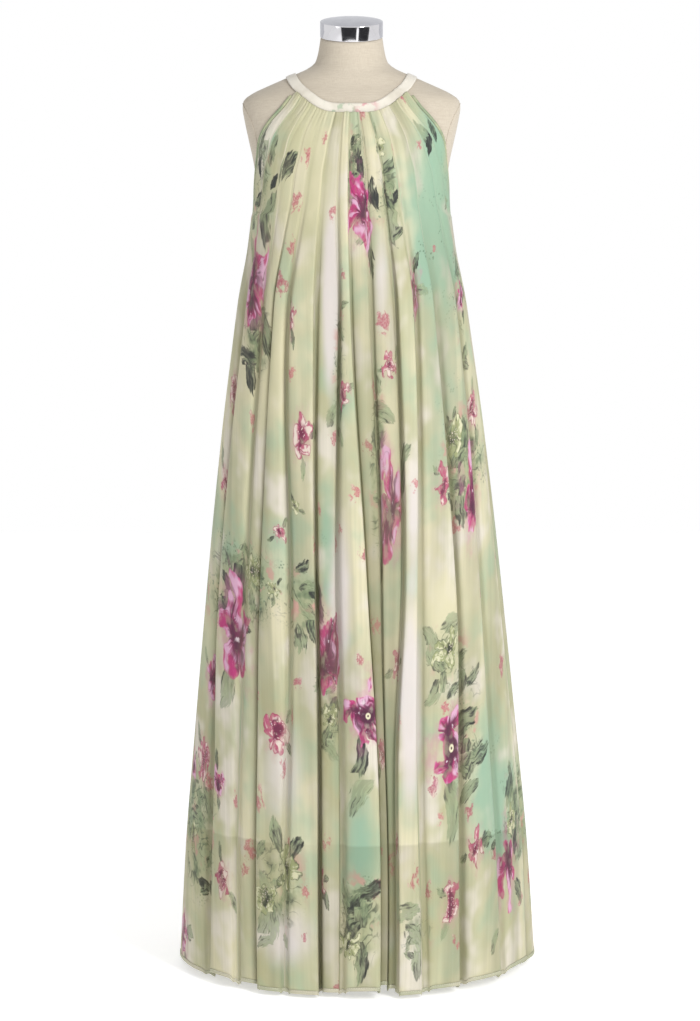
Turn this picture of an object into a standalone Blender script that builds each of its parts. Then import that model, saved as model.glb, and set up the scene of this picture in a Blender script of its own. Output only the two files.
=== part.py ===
"""A sleeveless maxi dress of printed chiffon, hanging on a limbless dress form.

Metres, +Z up. The front faces -Y, the wearer's left is at +X, and the floor is z = 0.
The origin is the middle of the underside of the stand's base.

Every surface is worked out in two co-ordinates: the angle round the body, from 0 at the
centre front to 90 degrees at the +X side and 180 at the centre back, and the height.
Cloth is that surface moved out along its normal by the depth of the folds.
"""

import math

import bpy
import numpy as np

MM = 0.001
OBJECT_NAME = "maxi_dress_on_form"

# Walls and clearances
CLOTH_WALL = 1.0 * MM
BAND_WALL = 1.6 * MM
SEAM_GAP = 0.3 * MM
EDGE_CALM = 0.1  # beside the armhole the folds are shallower over this share of a panel
EDGE_DEPTH = 0.25
SEAM_STRIP = 0.02  # flat strip at a panel's side edges, as a share of its half width
LINING_OUT = 2.0 * MM  # inner face of the lining, out from the form
DRESS_OUT = 3.6 * MM  # inner face of the dress, out from the same surface

# The dress
UNDERARM = 1257 * MM
HEM = 7 * MM
LEVEL_BELOW, LEVEL_ABOVE = 1200 * MM, 1300 * MM  # below, the folds go out level
LINING_HEM = 245 * MM
LINING_BELOW_BAND = 1.2 * MM
SWAY = 9 * MM  # the skirt swings this far towards +X at the floor
BAND_WIDTH = 15 * MM
BAND_HALF_WIDTH = 101.5 * MM  # plan of the neckband's middle line
BAND_FRONT = 85 * MM
BAND_BACK = 76 * MM
BAND_SQUARENESS = 3.0  # 2 is an ellipse
BINDING_WIDTH = 5 * MM
BINDING_START = 0.035  # share of the way from the neckband to the underarm
BINDING_RADIUS = 165 * MM  # of the body, beside the armhole
GATHER_DEPTH = 1.3 * MM
GATHER_REACH = 130 * MM  # the small gathers die out this far below the band

# The stand
CAP_RADIUS = 52 * MM
CAP_SIDE = 24 * MM
CAP_DOME = 6 * MM
POLE_RADIUS = 16 * MM
BASE_RADIUS = 160 * MM
BASE_THICKNESS = 10 * MM

# height, half width, front depth, back depth, shift back, forward tilt, squareness
FORM_SECTIONS = (
    (787, 150, 106, 100, 0, 0, 0.04),
    (800, 160, 114, 108, 0, 0, 0.04),
    (840, 167, 118, 120, 0, 0, 0.04),
    (890, 168, 118, 124, 0, 0, 0.04),
    (950, 158, 111, 112, 0, 0, 0.04),
    (1020, 134, 97, 92, 0, 0, 0.04),
    (1080, 120, 89, 80, 0, 0, 0.04),
    (1150, 134, 98, 86, 0, 0, 0.05),
    (1210, 148, 110, 96, 0, 0, 0.06),
    (1255, 154, 115, 101, 0, 0, 0.06),
    (1300, 157, 112, 105, 0, 0, 0.07),
    (1350, 164, 103, 107, 0, 0, 0.08),
    (1387, 172, 94.5, 103, 0, 0, 0.08),
    (1420, 179, 87, 96, 0, 0, 0.07),
    (1440, 182, 82, 90, 0, 0, 0.05),
    (1452, 180, 78, 86, 0, 0, 0.03),
    (1458, 173, 75.5, 83, 0, 0, 0.01),
    (1465, 162, 73, 80, 0, 1, -0.01),
    (1475, 140, 69, 75, -1, 2, -0.02),
    (1485, 117, 66, 71, -3, 4, -0.02),
    (1495, 93, 62, 66, -5, 6, -0.01),
    (1503, 74, 58, 61, -8, 9, 0),
    (1513, 60.5, 54, 56, -12, 13, 0),
    (1530, 55, 50, 51, -17, 17, 0),
    (1553.7, 51, 48.2, 48.2, -22, 19, 0),
)
# The surface that the bottoms of the folds lie on, below the arms. Same columns.
SKIRT_SECTIONS = (
    (0, 272, 232, 220, 0, 0, 0.02),
    (200, 263, 219, 206, 0, 0, 0.02),
    (410, 247, 203, 188, 0, 0, 0.02),
    (610, 231, 186, 170, 0, 0, 0.02),
    (780, 217, 171, 154, 0, 0, 0.03),
    (950, 201, 155, 138, 0, 0, 0.04),
    (1120, 182, 138, 122, 0, 0, 0.05),
    (1215, 167, 126, 112, 0, 0, 0.06),
    (1285, 161, 118, 108, 0, 0, 0.07),
    (1318, 162, 111, 108, 0, 0, 0.075),
)
CHEST_FROM = 1340  # above this height the cloth lies on the form
# height, and how far round from the centre front, and back, each panel's edge lies there
ARMHOLE = (
    (1257, 90, 90),
    (1262, 84, 85),
    (1280, 78.5, 80),
    (1303, 74, 76),
    (1322, 69, 72),
    (1351, 62, 66),
    (1377, 55, 60),
    (1394, 49, 56),
    (1412, 42, 52),
    (1433, 34.5, 48),
    (1460, 29.5, 43),
    (1490, 26.5, 38),
)
# Where each fold's left valley lies, as a share of the way from the centre to the side
# seam, at six heights; then the fold's depth at the waist and at the hem, how far the
# valley stays out, the crest's lean to +X as a share of the fold, and the hem's rise.
FOLD_LEVELS = (1440, 1320, 1100, 670, 350, 0)
# band, chest, waist, thigh, knee, hem, waist depth, hem depth, valley out, lean, rise
FRONT_FOLDS = (
    (-1.00, -1.00, -1.00, -1.000, -1.000, -1.00, 7, 29, 0, -0.04, 3),
    (-0.86, -0.80, -0.72, -0.720, -0.640, -0.60, 8, 25, 2, -0.05, 6),
    (-0.66, -0.60, -0.53, -0.520, -0.490, -0.46, 6, 12, 4, 0.03, 8),
    (-0.52, -0.47, -0.45, -0.440, -0.400, -0.37, 8, 27, 1, -0.06, 1),
    (-0.38, -0.36, -0.36, -0.290, -0.270, -0.26, 9, 18, 10, 0.08, 0),
    (-0.22, -0.24, -0.20, -0.170, -0.150, -0.13, 8, 17, 0, 0.02, 1),
    (-0.12, -0.12, -0.07, -0.075, -0.065, -0.06, 8, 28, 6, 0.12, 8),
    (-0.03, -0.03, -0.015, 0.06, 0.090, 0.080, 4, 6, 1, 0.00, 9),
    (0.10, 0.12, 0.105, 0.125, 0.125, 0.11, 8, 8, 0, -0.03, 6),
    (0.23, 0.26, 0.25, 0.222, 0.165, 0.14, 9, 28, 0, -0.06, 1),
    (0.40, 0.38, 0.36, 0.283, 0.255, 0.24, 9, 25, 1, 0.06, 3),
    (0.58, 0.53, 0.48, 0.480, 0.430, 0.39, 8, 27, 1, 0.08, 6),
    (0.72, 0.72, 0.69, 0.640, 0.600, 0.59, 8, 24, 2, 0.06, 8),
    (0.86, 0.86, 0.86, 0.860, 0.870, 0.80, 7, 28, 3, 0.04, 6),
)
# The back's folds, worked out by a formula: share, then mm
BACK_FOLD_COUNT = 11
BACK_WANDER = 0.02
BACK_LEAN = 0.06
BACK_WAIST_DEPTH = 7
BACK_HEM_DEPTH, BACK_HEM_CHANGE = 24, 5
BACK_VALLEY_OUT = 1
BACK_RISE, BACK_RISE_CHANGE = 4, 3
LINING_FLUTES = 6
LINING_INSET = 7 * MM  # the lining's hem hangs this far inside the folds
LINING_FLUTE_DEPTH = 3 * MM
# How much of a fold's waist depth, and of what the hem adds to it, shows at each height
# height, share of waist depth, share of added depth
FOLD_GROWTH = (
    (0, 1, 1),
    (100, 1, 0.90),
    (345, 1, 0.72),
    (665, 1, 0.46),
    (900, 1, 0.18),
    (1105, 1, 0),
    (1215, 0.60, 0),
    (1320, 0.36, 0),
    (1440, 0.24, 0),
)
CREST_FLATNESS = 0.41  # steepens the sides of a fold; 0.5 would make them upright
CREST_BREADTH = 0.45  # makes the crest broader than the valley
# The rows of each panel: shares of the way from the neckband to the underarm, and heights
YOKE_ROWS = (0, 0.05, 0.13, 0.25, 0.4, 0.55, 0.7, 0.85)
SKIRT_ROWS = (1257, 1190, 1080, 920, 740, 530, 290, 0)
FRONT_COLUMNS_PER_FOLD = 7
BACK_COLUMNS_PER_FOLD = 6
LINING_COLUMNS_PER_FLUTE = 3
FORM_SIDES = 42


def curve(table, height):
    """The table's columns at a height in mm: a smooth curve that never overshoots its rows."""
    table = np.array(table, float)
    table = table[np.argsort(table[:, 0])]
    key, value = table[:, 0], table[:, 1:]
    step = np.diff(key)[:, None]
    slope = np.diff(value, axis=0) / step
    product = slope[:-1] * slope[1:]
    total = slope[:-1] + slope[1:]
    inner = np.where(product > 0, 2 * product / np.where(product > 0, total, 1), 0)
    tangent = np.vstack([slope[:1], inner, slope[-1:]])
    height = np.clip(np.asarray(height, float), key[0], key[-1])
    i = np.clip(np.searchsorted(key, height) - 1, 0, len(key) - 2)
    t = ((height - key[i]) / step[i, 0])[..., None]
    low, high = value[i], value[i + 1]
    bend_low, bend_high = step[i] * tangent[i], step[i] * tangent[i + 1]
    result = (1 + 2 * t) * (1 - t) ** 2 * low + t * (1 - t) ** 2 * bend_low
    result = result + t * t * (3 - 2 * t) * high + t * t * (t - 1) * bend_high
    return np.moveaxis(result, -1, 0)


DRESS_SECTIONS = SKIRT_SECTIONS + tuple(row for row in FORM_SECTIONS if row[0] > CHEST_FROM)


def section_point(angle, height, sections):
    """A point of the body: x = half width * sin, y = -depth * cos, on a ring that may tilt."""
    half, front, back, shift, tilt, square = curve(sections, height / MM)
    swell = 1 + square * np.sin(2 * angle) ** 2
    run = -np.where(np.cos(angle) > 0, front, back) * MM * swell * np.cos(angle)
    across = half * MM * swell * np.sin(angle)
    return np.stack([across, shift * MM + run, height + run * np.tan(np.radians(tilt))], -1)


def outward(angle, height, sections):
    """The surface's unit normal, from the points just beside each point."""
    near = 1e-4
    height = np.clip(height, near, sections[-1][0] * MM - near)
    around = section_point(angle + near, height, sections)
    around = around - section_point(angle - near, height, sections)
    upward = section_point(angle, height + near, sections)
    upward = upward - section_point(angle, height - near, sections)
    normal = np.cross(around, upward)
    return normal / np.linalg.norm(normal, axis=-1, keepdims=True)


def under_plan(x, y):
    """The angle and height on the form's shoulders below the plan position (x, y)."""
    low, high = np.full(x.shape, 1.25), np.full(x.shape, 1.52)
    for _ in range(30):
        middle = (low + high) / 2
        half, front, back, shift, _, square = curve(FORM_SECTIONS, middle / MM)
        ahead = shift * MM - y
        sine = x / (half * MM)
        cosine = ahead / (np.where(ahead > 0, front, back) * MM)
        angle = np.arctan2(sine, cosine)
        inside = np.hypot(sine, cosine) < 1 + square * np.sin(2 * angle) ** 2
        low = np.where(inside, middle, low)
        high = np.where(inside, high, middle)
    return angle, middle


def neckline(turn, below):
    """Angle and height on the form, a distance below the neckband's middle line."""

    def middle_line(turn):
        sine, cosine = np.sin(turn), np.cos(turn)
        power = BAND_SQUARENESS
        reach = (np.abs(sine) ** power + np.abs(cosine) ** power) ** (-1 / power)
        depth = np.where(cosine > 0, BAND_FRONT, BAND_BACK)
        return under_plan(BAND_HALF_WIDTH * reach * sine, -depth * reach * cosine)

    near = 0.01
    angle, height = middle_line(turn)
    point = section_point(angle, height, FORM_SECTIONS)
    ahead = section_point(*middle_line(turn + near), FORM_SECTIONS)
    down = np.cross(ahead - point, outward(angle, height, FORM_SECTIONS))
    down = down / np.linalg.norm(down, axis=-1, keepdims=True)
    target = point + down * np.asarray(below)[..., None]
    return under_plan(target[..., 0], target[..., 1])


def armhole_angle(height, behind):
    """How far round the armhole's edge lies at a height, in radians from that panel's centre."""
    front, back = curve(ARMHOLE, height / MM)
    return np.radians(back if behind else front)


def edge_angle(width):
    """The angle that spans a width at a panel's edge."""
    return width / BINDING_RADIUS


def neck_height(share, below, behind):
    """The height at which each column of a panel meets the neckband's lower edge."""
    turn = np.radians(np.linspace(-72, 72, 73))
    angle, height = neckline(math.pi + turn if behind else turn, below)
    if behind:
        angle = np.where(angle > 0, angle - math.pi, angle + math.pi)
    return np.interp(share, angle / armhole_angle(height, behind), height)


def fold_columns(folds, columns_per_fold):
    """For each column of a panel: its fold's number, how far through that fold it is, and
    what scales its share. The first and last are repeated, for a flat strip at the seam.
    """
    last = len(folds) * columns_per_fold
    steps = np.clip(np.arange(-1, last + 2), 0, last)
    number = np.minimum(steps // columns_per_fold, len(folds) - 1)
    scale = np.full(steps.shape, 1 - SEAM_STRIP)
    scale[[0, -1]] = 1
    return number, (steps - number * columns_per_fold) / columns_per_fold, scale


def fold_shape(folds, number, through, height):
    """Where a point of a fold lies across the panel, and how far out.

    With the phase going once round over a fold, its place is the phase plus a sine of
    twice the phase, which makes the sides steep, less a sine that makes the crest
    broad; its depth is (1 - cosine) / 2. The lean moves the crest sideways.
    """
    folds = np.array(folds, float)
    right = np.vstack([folds[1:], folds[0]])
    right[-1, : len(FOLD_LEVELS)] = 1
    level = np.clip(height / MM, 0, FOLD_LEVELS[0])
    starts = curve(np.column_stack([FOLD_LEVELS, folds[:, : len(FOLD_LEVELS)].T]), level)
    ends = curve(np.column_stack([FOLD_LEVELS, right[:, : len(FOLD_LEVELS)].T]), level)
    column = np.broadcast_to(number, height.shape)
    start = np.take_along_axis(starts, column[None], 0)[0]
    end = np.take_along_axis(ends, column[None], 0)[0]
    waist, hem, floor, lean = (folds[number, k] for k in (6, 7, 8, 9))
    phase = 2 * math.pi * through
    place = CREST_FLATNESS * np.sin(2 * phase) - CREST_BREADTH * np.sin(phase)
    place = through + place / (2 * math.pi) + lean * (1 - np.cos(phase)) / 2
    near_part, far_part = curve(FOLD_GROWTH, level)
    depth = waist * near_part + (hem - waist) * far_part
    floor = floor * (1 - through) + right[number, 8] * through
    out = depth * (1 - np.cos(phase)) / 2 + floor * far_part
    return start + (end - start) * place, out * MM


def panel_rows(top, hem):
    """Heights of a panel's points: down from the neckband to the underarm, then to the hem."""
    yoke = [top + (UNDERARM - top) * share for share in YOKE_ROWS]
    skirt = [row * MM for row in SKIRT_ROWS if row * MM > hem.min() + 30 * MM]
    return np.array(yoke + [np.full(top.shape, row) for row in skirt] + [hem])


def smooth_step(value):
    value = np.clip(value, 0, 1)
    return value * value * (3 - 2 * value)


def dress_panel(folds, columns_per_fold, behind):
    """Points of the front or the back, from the neckband to the hem."""
    number, through, scale = fold_columns(folds, columns_per_fold)
    first = np.full(number.shape, FOLD_LEVELS[0] * MM)
    share = fold_shape(folds, number, through, first)[0] * scale
    rise = np.array(folds, float)[number, 10] * MM
    hem = HEM + rise * np.sin(math.pi * through) ** 2
    top = neck_height(share, BAND_WIDTH / 2 + SEAM_GAP, behind)
    height = panel_rows(top, hem)
    share, out = fold_shape(folds, number, through, height)
    share = share * scale
    edge = armhole_angle(height, behind)
    angle = share * (edge - edge_angle(SEAM_GAP / 2)) + (math.pi if behind else 0)
    gathers = 1 - smooth_step((top - height) / GATHER_REACH)
    side_fade = smooth_step((1 - np.abs(share)) / EDGE_CALM)
    out = out + GATHER_DEPTH * gathers * (1 - np.cos(4 * math.pi * through)) / 2
    in_yoke = height > UNDERARM + SEAM_GAP
    out = out * np.where(in_yoke, EDGE_DEPTH + (1 - EDGE_DEPTH) * side_fade, 1)
    return cloth_point(angle, height, DRESS_OUT + out)


def cloth_point(angle, height, out):
    """A point of the cloth: the body's surface, moved out and swayed to one side.

    Below the chest it is moved out level, so that the hem stays at its height.
    """
    point = section_point(angle, height, DRESS_SECTIONS)
    point = point + outward(angle, height, DRESS_SECTIONS) * out[..., None]
    tilt_kept = smooth_step((height - LEVEL_BELOW) / (LEVEL_ABOVE - LEVEL_BELOW))
    point[..., 2] = height + (point[..., 2] - height) * tilt_kept
    point[..., 0] += SWAY * np.clip(1 - height / UNDERARM, 0, 1)
    return point


def back_folds():
    """The back's folds are even, with a slow change in width, depth and lean."""
    rows = []
    for i in range(BACK_FOLD_COUNT):
        wander = BACK_WANDER * math.sin(2.4 * i) if i else 0
        start = 2 * i / BACK_FOLD_COUNT - 1 + wander
        depth = BACK_HEM_DEPTH + BACK_HEM_CHANGE * math.sin(1.7 * i + 1)
        lean = BACK_LEAN * math.sin(2.1 * i)
        rise = BACK_RISE + BACK_RISE_CHANGE * math.sin(1.3 * i)
        starts = (start,) * len(FOLD_LEVELS)
        rows.append(starts + (BACK_WAIST_DEPTH, depth, BACK_VALLEY_OUT, lean, rise))
    return tuple(rows)


def lining_panel(behind):
    """The lining: the same cut without the folds, a little inside them, with soft flutes."""
    count = LINING_FLUTES * LINING_COLUMNS_PER_FLUTE
    share = np.linspace(-1, 1, count + 1)
    top = neck_height(share, BAND_WIDTH / 2 + LINING_BELOW_BAND, behind)
    height = panel_rows(top, np.full(share.shape, LINING_HEM))
    edge = armhole_angle(height, behind)
    angle = share * (edge - edge_angle(SEAM_GAP / 2)) + (math.pi if behind else 0)
    fallen = np.clip(1 - (height - LINING_HEM) / (UNDERARM - LINING_HEM), 0, 1)
    flutes = np.cos(math.pi * share * LINING_FLUTES)
    out = LINING_OUT - fallen * (LINING_INSET + LINING_FLUTE_DEPTH * flutes)
    return cloth_point(angle, height, out)


def neckband_points(count=64):
    """A closed ribbon on the shoulders and chest, by turn round the neck and width."""
    turn = np.linspace(0, 2 * math.pi, count, endpoint=False)[None, :]
    below = np.linspace(-BAND_WIDTH / 2, BAND_WIDTH / 2, 3)[:, None]
    turn, below = np.broadcast_arrays(turn, below)
    angle, height = neckline(turn, below)
    point = section_point(angle, height, FORM_SECTIONS)
    return point + outward(angle, height, FORM_SECTIONS) * LINING_OUT


def binding_half(behind):
    """Angle and height of the bound edge, from the neckband down to the side seam.

    It lies beside the panel's edge: each point is moved square to that edge, along the
    body, and straight up under the arm.
    """
    top = neck_height(1, BAND_WIDTH / 2 + SEAM_GAP, behind)
    share = np.array((BINDING_START,) + YOKE_ROWS[1:] + (1,))
    height = top + (UNDERARM - top) * share
    angle = armhole_angle(height, behind)
    along = np.gradient(angle / edge_angle(1))
    down = np.gradient(height)
    down[-1] = 0
    length = np.hypot(along, down)
    across = np.array([SEAM_GAP + BINDING_WIDTH, SEAM_GAP])[::-1, None]
    angle = angle - across * down / length * edge_angle(1)
    height = height + across * along / length
    return (math.pi - angle if behind else angle), height


def binding_points(side):
    """The bound edge of one armhole, from the band's front joint under the arm to its back."""
    front, back = binding_half(False), binding_half(True)
    angle, height = (np.hstack([f[:, :-1], b[:, ::-1]]) for f, b in zip(front, back))
    point = cloth_point(angle[::-1], height[::-1], np.full(angle.shape, DRESS_OUT))
    if side < 0:
        point[..., 0] *= -1
    return point[:, ::side]


def finish(colour, roughness, metallic=0.0):
    material = bpy.data.materials.new("finish")
    material.use_nodes = True
    shader = material.node_tree.nodes["Principled BSDF"]
    shader.inputs["Base Color"].default_value = (*colour, 1)
    shader.inputs["Roughness"].default_value = roughness
    shader.inputs["Metallic"].default_value = metallic
    return material


def add_object(name, mesh, material):
    mesh.materials.append(material)
    piece = bpy.data.objects.new(name, mesh)
    bpy.data.collections[OBJECT_NAME].objects.link(piece)
    return piece


def loft(name, points, material, closed=False, capped=False):
    """A surface through rows of points. Its outer side faces away from the body."""
    rows, columns = points.shape[:2]
    index = np.arange(rows * columns).reshape(rows, columns)
    if closed:
        index = np.hstack([index, index[:, :1]])
    quads = [index[:-1, :-1], index[1:, :-1], index[1:, 1:], index[:-1, 1:]]
    faces = np.stack(quads, -1).reshape(-1, 4).tolist()
    if capped:
        faces.append(list(range(columns)))
        faces.append(list(range(rows * columns))[: -columns - 1 : -1])
    mesh = bpy.data.meshes.new(name)
    mesh.from_pydata(points.reshape(-1, 3).tolist(), [], faces)
    mesh.shade_smooth()
    return add_object(name, mesh, material)


def thicken(piece, wall):
    """Give a sheet its wall, all of it on the outer side."""
    solid = piece.modifiers.new("wall", "SOLIDIFY")
    solid.thickness = wall
    solid.offset = 1
    return piece


def turned(name, profile, material):
    """A profile of (radius, height) pairs, from the top down, turned about the Z axis."""
    mesh = bpy.data.meshes.new(name)
    points = [(radius, 0, height) for radius, height in profile]
    mesh.from_pydata(points, [(i, i + 1) for i in range(len(points) - 1)], [])
    piece = add_object(name, mesh, material)
    screw = piece.modifiers.new("turn", "SCREW")
    screw.steps = screw.render_steps = 48
    screw.use_merge_vertices = True
    screw.merge_threshold = 0.0001
    return piece


def build_form(linen, chrome, steel):
    angle = np.linspace(0, 2 * math.pi, FORM_SIDES, endpoint=False)[None, :]
    height = np.array([row[0] * MM for row in FORM_SECTIONS[::-1]])[:, None]
    angle, height = np.broadcast_arrays(angle, height)
    torso = section_point(angle, height, FORM_SECTIONS)
    loft("form_torso", torso, linen, closed=True, capped=True)

    top, _, _, _, shift, tilt, _ = FORM_SECTIONS[-1]
    tilt = math.radians(tilt)
    edge = 1.5 * MM
    profile = (
        (0, CAP_SIDE + CAP_DOME),
        (CAP_RADIUS * 0.5, CAP_SIDE + CAP_DOME * 0.75),
        (CAP_RADIUS - edge, CAP_SIDE + edge),
        (CAP_RADIUS, CAP_SIDE),
        (CAP_RADIUS, edge),
        (CAP_RADIUS - edge, 0),
        (0, 0),
    )
    cap = turned("neck_cap", profile, chrome)
    axis = np.array([0, -math.sin(tilt), math.cos(tilt)])
    cap.location = np.array([0, shift * MM, top * MM]) + axis * SEAM_GAP
    cap.rotation_euler.x = tilt

    pole_low = BASE_THICKNESS + SEAM_GAP
    pole_high = FORM_SECTIONS[0][0] * MM - SEAM_GAP
    profile = ((0, pole_high), (POLE_RADIUS, pole_high), (POLE_RADIUS, pole_low), (0, pole_low))
    turned("stand_pole", profile, steel)
    rim = 4 * MM
    profile = (
        (0, BASE_THICKNESS),
        (POLE_RADIUS * 2, BASE_THICKNESS),
        (BASE_RADIUS - rim, rim),
        (BASE_RADIUS, rim / 2),
        (BASE_RADIUS, 0),
        (0, 0),
    )
    turned("stand_base", profile, steel)


def build_dress(print_cloth, lining_cloth, satin):
    front = dress_panel(FRONT_FOLDS, FRONT_COLUMNS_PER_FOLD, False)
    back = dress_panel(back_folds(), BACK_COLUMNS_PER_FOLD, True)
    thicken(loft("dress_front", front, print_cloth), CLOTH_WALL)
    thicken(loft("dress_back", back, print_cloth), CLOTH_WALL)
    thicken(loft("lining_front", lining_panel(False), lining_cloth), CLOTH_WALL)
    thicken(loft("lining_back", lining_panel(True), lining_cloth), CLOTH_WALL)
    thicken(loft("neckband", neckband_points(), satin, closed=True), BAND_WALL)
    for name, side in (("left", 1), ("right", -1)):
        strip = loft("armhole_binding_" + name, binding_points(side), print_cloth)
        thicken(strip, CLOTH_WALL)


def main():
    for leftover in list(bpy.data.objects):
        bpy.data.objects.remove(leftover)
    bpy.context.scene.collection.children.link(bpy.data.collections.new(OBJECT_NAME))
    print_cloth = finish((0.72, 0.76, 0.55), 0.75)
    lining_cloth = finish((0.86, 0.85, 0.68), 0.7)
    satin = finish((0.90, 0.88, 0.80), 0.45)
    linen = finish((0.74, 0.68, 0.58), 0.9)
    chrome = finish((0.80, 0.80, 0.82), 0.08, 1)
    steel = finish((0.62, 0.62, 0.64), 0.3, 1)
    build_form(linen, chrome, steel)
    build_dress(print_cloth, lining_cloth, satin)


main()
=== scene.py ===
# %% [markdown]
# # A printed chiffon maxi dress on its dress form
#
# The object is a sleeveless maxi dress, gathered into a satin neckband and falling in
# loose folds to the floor, on a linen-covered dress form with a chrome neck cap. The
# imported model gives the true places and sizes; this lesson makes the surfaces that an
# eye sees. Everything is in metres, +Z is up, and the dress's front faces -Y.

# %% Load the frame
import math

import bpy
import numpy as np
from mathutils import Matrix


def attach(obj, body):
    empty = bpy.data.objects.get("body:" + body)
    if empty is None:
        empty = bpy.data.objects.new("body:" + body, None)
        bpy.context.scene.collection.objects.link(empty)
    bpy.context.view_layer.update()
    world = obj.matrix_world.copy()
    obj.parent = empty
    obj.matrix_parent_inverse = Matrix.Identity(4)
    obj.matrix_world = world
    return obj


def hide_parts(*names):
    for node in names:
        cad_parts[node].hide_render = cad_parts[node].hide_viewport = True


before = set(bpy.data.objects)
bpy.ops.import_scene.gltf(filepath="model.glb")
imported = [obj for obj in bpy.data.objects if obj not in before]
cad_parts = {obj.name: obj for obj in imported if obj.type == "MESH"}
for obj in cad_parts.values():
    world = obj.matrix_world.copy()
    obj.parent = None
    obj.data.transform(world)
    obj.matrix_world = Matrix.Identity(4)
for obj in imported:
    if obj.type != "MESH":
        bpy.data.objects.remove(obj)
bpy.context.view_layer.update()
BODY = "root"
MM = 0.001
print("nodes:", sorted(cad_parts))

# %% [markdown]
# ## The studio
#
# The photo is a shop picture: even white light, a little more of it from the right, no
# horizon. The camera stands 3.5 m away and 1 m up, looking 4 degrees down, which is what
# the sag of the hem and the roundness of the cap ask for. A pale floor and a white
# surrounding do most of the lighting; two large soft lamps shape the folds.

# %% Camera, surroundings and lamps
PHOTO_HEIGHT = 1021
CAMERA_PLACE = (-0.0025, -3.5, 1.010)
CAMERA_PITCH = math.radians(4)
FOCAL_PIXELS = 2070  # so many pixels of the photo to the tangent of 45 degrees
SENSOR = 36

# name, place, size, watts
LAMPS = (
    ("key", (2.1, -2.8, 2.3), (0.8, 2.0), 92),
    ("fill", (-2.6, -2.2, 1.6), (1.0, 2.0), 12),
)
LAMP_AIM = (0, 0, 0.8)
WHITE = (1, 1, 1, 1)
SURROUNDINGS_SEEN, SURROUNDINGS_LIT = 1.0, 0.52  # strength to eye and gloss, and as light


def add_object(name, data):
    """A new object in the scene, at the origin."""
    made = bpy.data.objects.new(name, data)
    bpy.context.scene.collection.objects.link(made)
    return made


lens = bpy.data.cameras.new("camera")
lens.sensor_width = SENSOR
lens.lens = FOCAL_PIXELS / PHOTO_HEIGHT * SENSOR
camera = add_object("camera", lens)
camera.location = CAMERA_PLACE
camera.rotation_euler = (math.pi / 2 - CAMERA_PITCH, 0, 0)
bpy.context.scene.camera = camera
bpy.context.scene.view_settings.view_transform = "Standard"

world = bpy.data.worlds.new("studio")
world.use_nodes = True
sky = world.node_tree
light_path, strength = sky.nodes.new("ShaderNodeLightPath"), sky.nodes.new("ShaderNodeMapRange")
strength.inputs["To Min"].default_value = SURROUNDINGS_LIT
strength.inputs["To Max"].default_value = SURROUNDINGS_SEEN
either = sky.nodes.new("ShaderNodeMath")
either.operation = "MAXIMUM"
for socket, kind in zip(either.inputs, ("Is Camera Ray", "Is Glossy Ray")):
    sky.links.new(light_path.outputs[kind], socket)
sky.links.new(either.outputs["Value"], strength.inputs["Value"])
sky.links.new(strength.outputs["Result"], sky.nodes["Background"].inputs["Strength"])
sky.nodes["Background"].inputs["Color"].default_value = WHITE
bpy.context.scene.world = world


def soft_lamp(name, place, aim, size, watts):
    """A rectangular lamp, turned so that it shines at a point."""
    lamp = bpy.data.lights.new(name, "AREA")
    lamp.shape = "RECTANGLE"
    lamp.size, lamp.size_y = size
    lamp.energy = watts
    holder = add_object(name, lamp)
    holder.location = place
    direction = np.array(aim, float) - place
    flat = math.hypot(direction[0], direction[1])
    turn = math.atan2(direction[1], direction[0]) - math.pi / 2
    holder.rotation_euler = (math.atan2(flat, -direction[2]), 0, turn)


for name, place, size, watts in LAMPS:
    soft_lamp(name, place, LAMP_AIM, size, watts)
print("lens", round(lens.lens, 1), "mm")

# %% [markdown]
# ## Surfaces as functions
#
# Every piece is a function of two parameters on a grid, computed as whole arrays. One
# helper turns the array of points into a mesh, another finds smooth curves through the
# rows of a short table. The curve is a monotone cubic: it never overshoots its rows, so
# a neck stays as slim as its narrowest section.


# %% Grids, curves and meshes
def curve(table, key):
    """The table's columns at each key, by cubic pieces whose slope at a row is the
    harmonic mean of the slopes beside it, or nothing where those differ in sign."""
    table = np.array(table, float)
    table = table[np.argsort(table[:, 0])]
    keys, value = table[:, 0], table[:, 1:]
    step = np.diff(keys)[:, None]
    slope = np.diff(value, axis=0) / step
    product, total = slope[:-1] * slope[1:], slope[:-1] + slope[1:]
    inner = np.where(product > 0, 2 * product / np.where(product > 0, total, 1), 0)
    tangent = np.vstack([slope[:1], inner, slope[-1:]])
    key = np.clip(np.asarray(key, float), keys[0], keys[-1])
    i = np.clip(np.searchsorted(keys, key) - 1, 0, len(keys) - 2)
    t = ((key - keys[i]) / step[i, 0])[..., None]
    low, high = value[i], value[i + 1]
    result = (1 + 2 * t) * (1 - t) ** 2 * low + t * (1 - t) ** 2 * step[i] * tangent[i]
    result += t * t * (3 - 2 * t) * high + t * t * (t - 1) * step[i] * tangent[i + 1]
    return np.moveaxis(result, -1, 0)


def smooth_step(value):
    """0 below 0, 1 above 1, and 3v^2 - 2v^3 between."""
    value = np.clip(value, 0, 1)
    return value * value * (3 - 2 * value)


def grid_faces(rows, columns, closed=False):
    """Quads of a grid whose rows run down and whose columns run to the right, as seen
    from outside."""
    index = np.arange(rows * columns).reshape(rows, columns)
    if closed:
        index = np.hstack([index, index[:, :1]])
    corners = [index[:-1, :-1], index[1:, :-1], index[1:, 1:], index[:-1, 1:]]
    return np.stack(corners, -1).reshape(-1, 4)


def make_piece(name, points, faces, material=None, slot=None, replaces=()):
    """A smooth mesh at the origin that rides with the object."""
    mesh = bpy.data.meshes.new(name)
    mesh.from_pydata(np.asarray(points).reshape(-1, 3).tolist(), [], faces)
    mesh.shade_smooth()
    if material is not None:
        mesh.materials.append(material)
    piece = add_object(name, mesh)
    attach(piece, BODY)
    if replaces:
        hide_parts(*replaces)
    return piece


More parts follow.
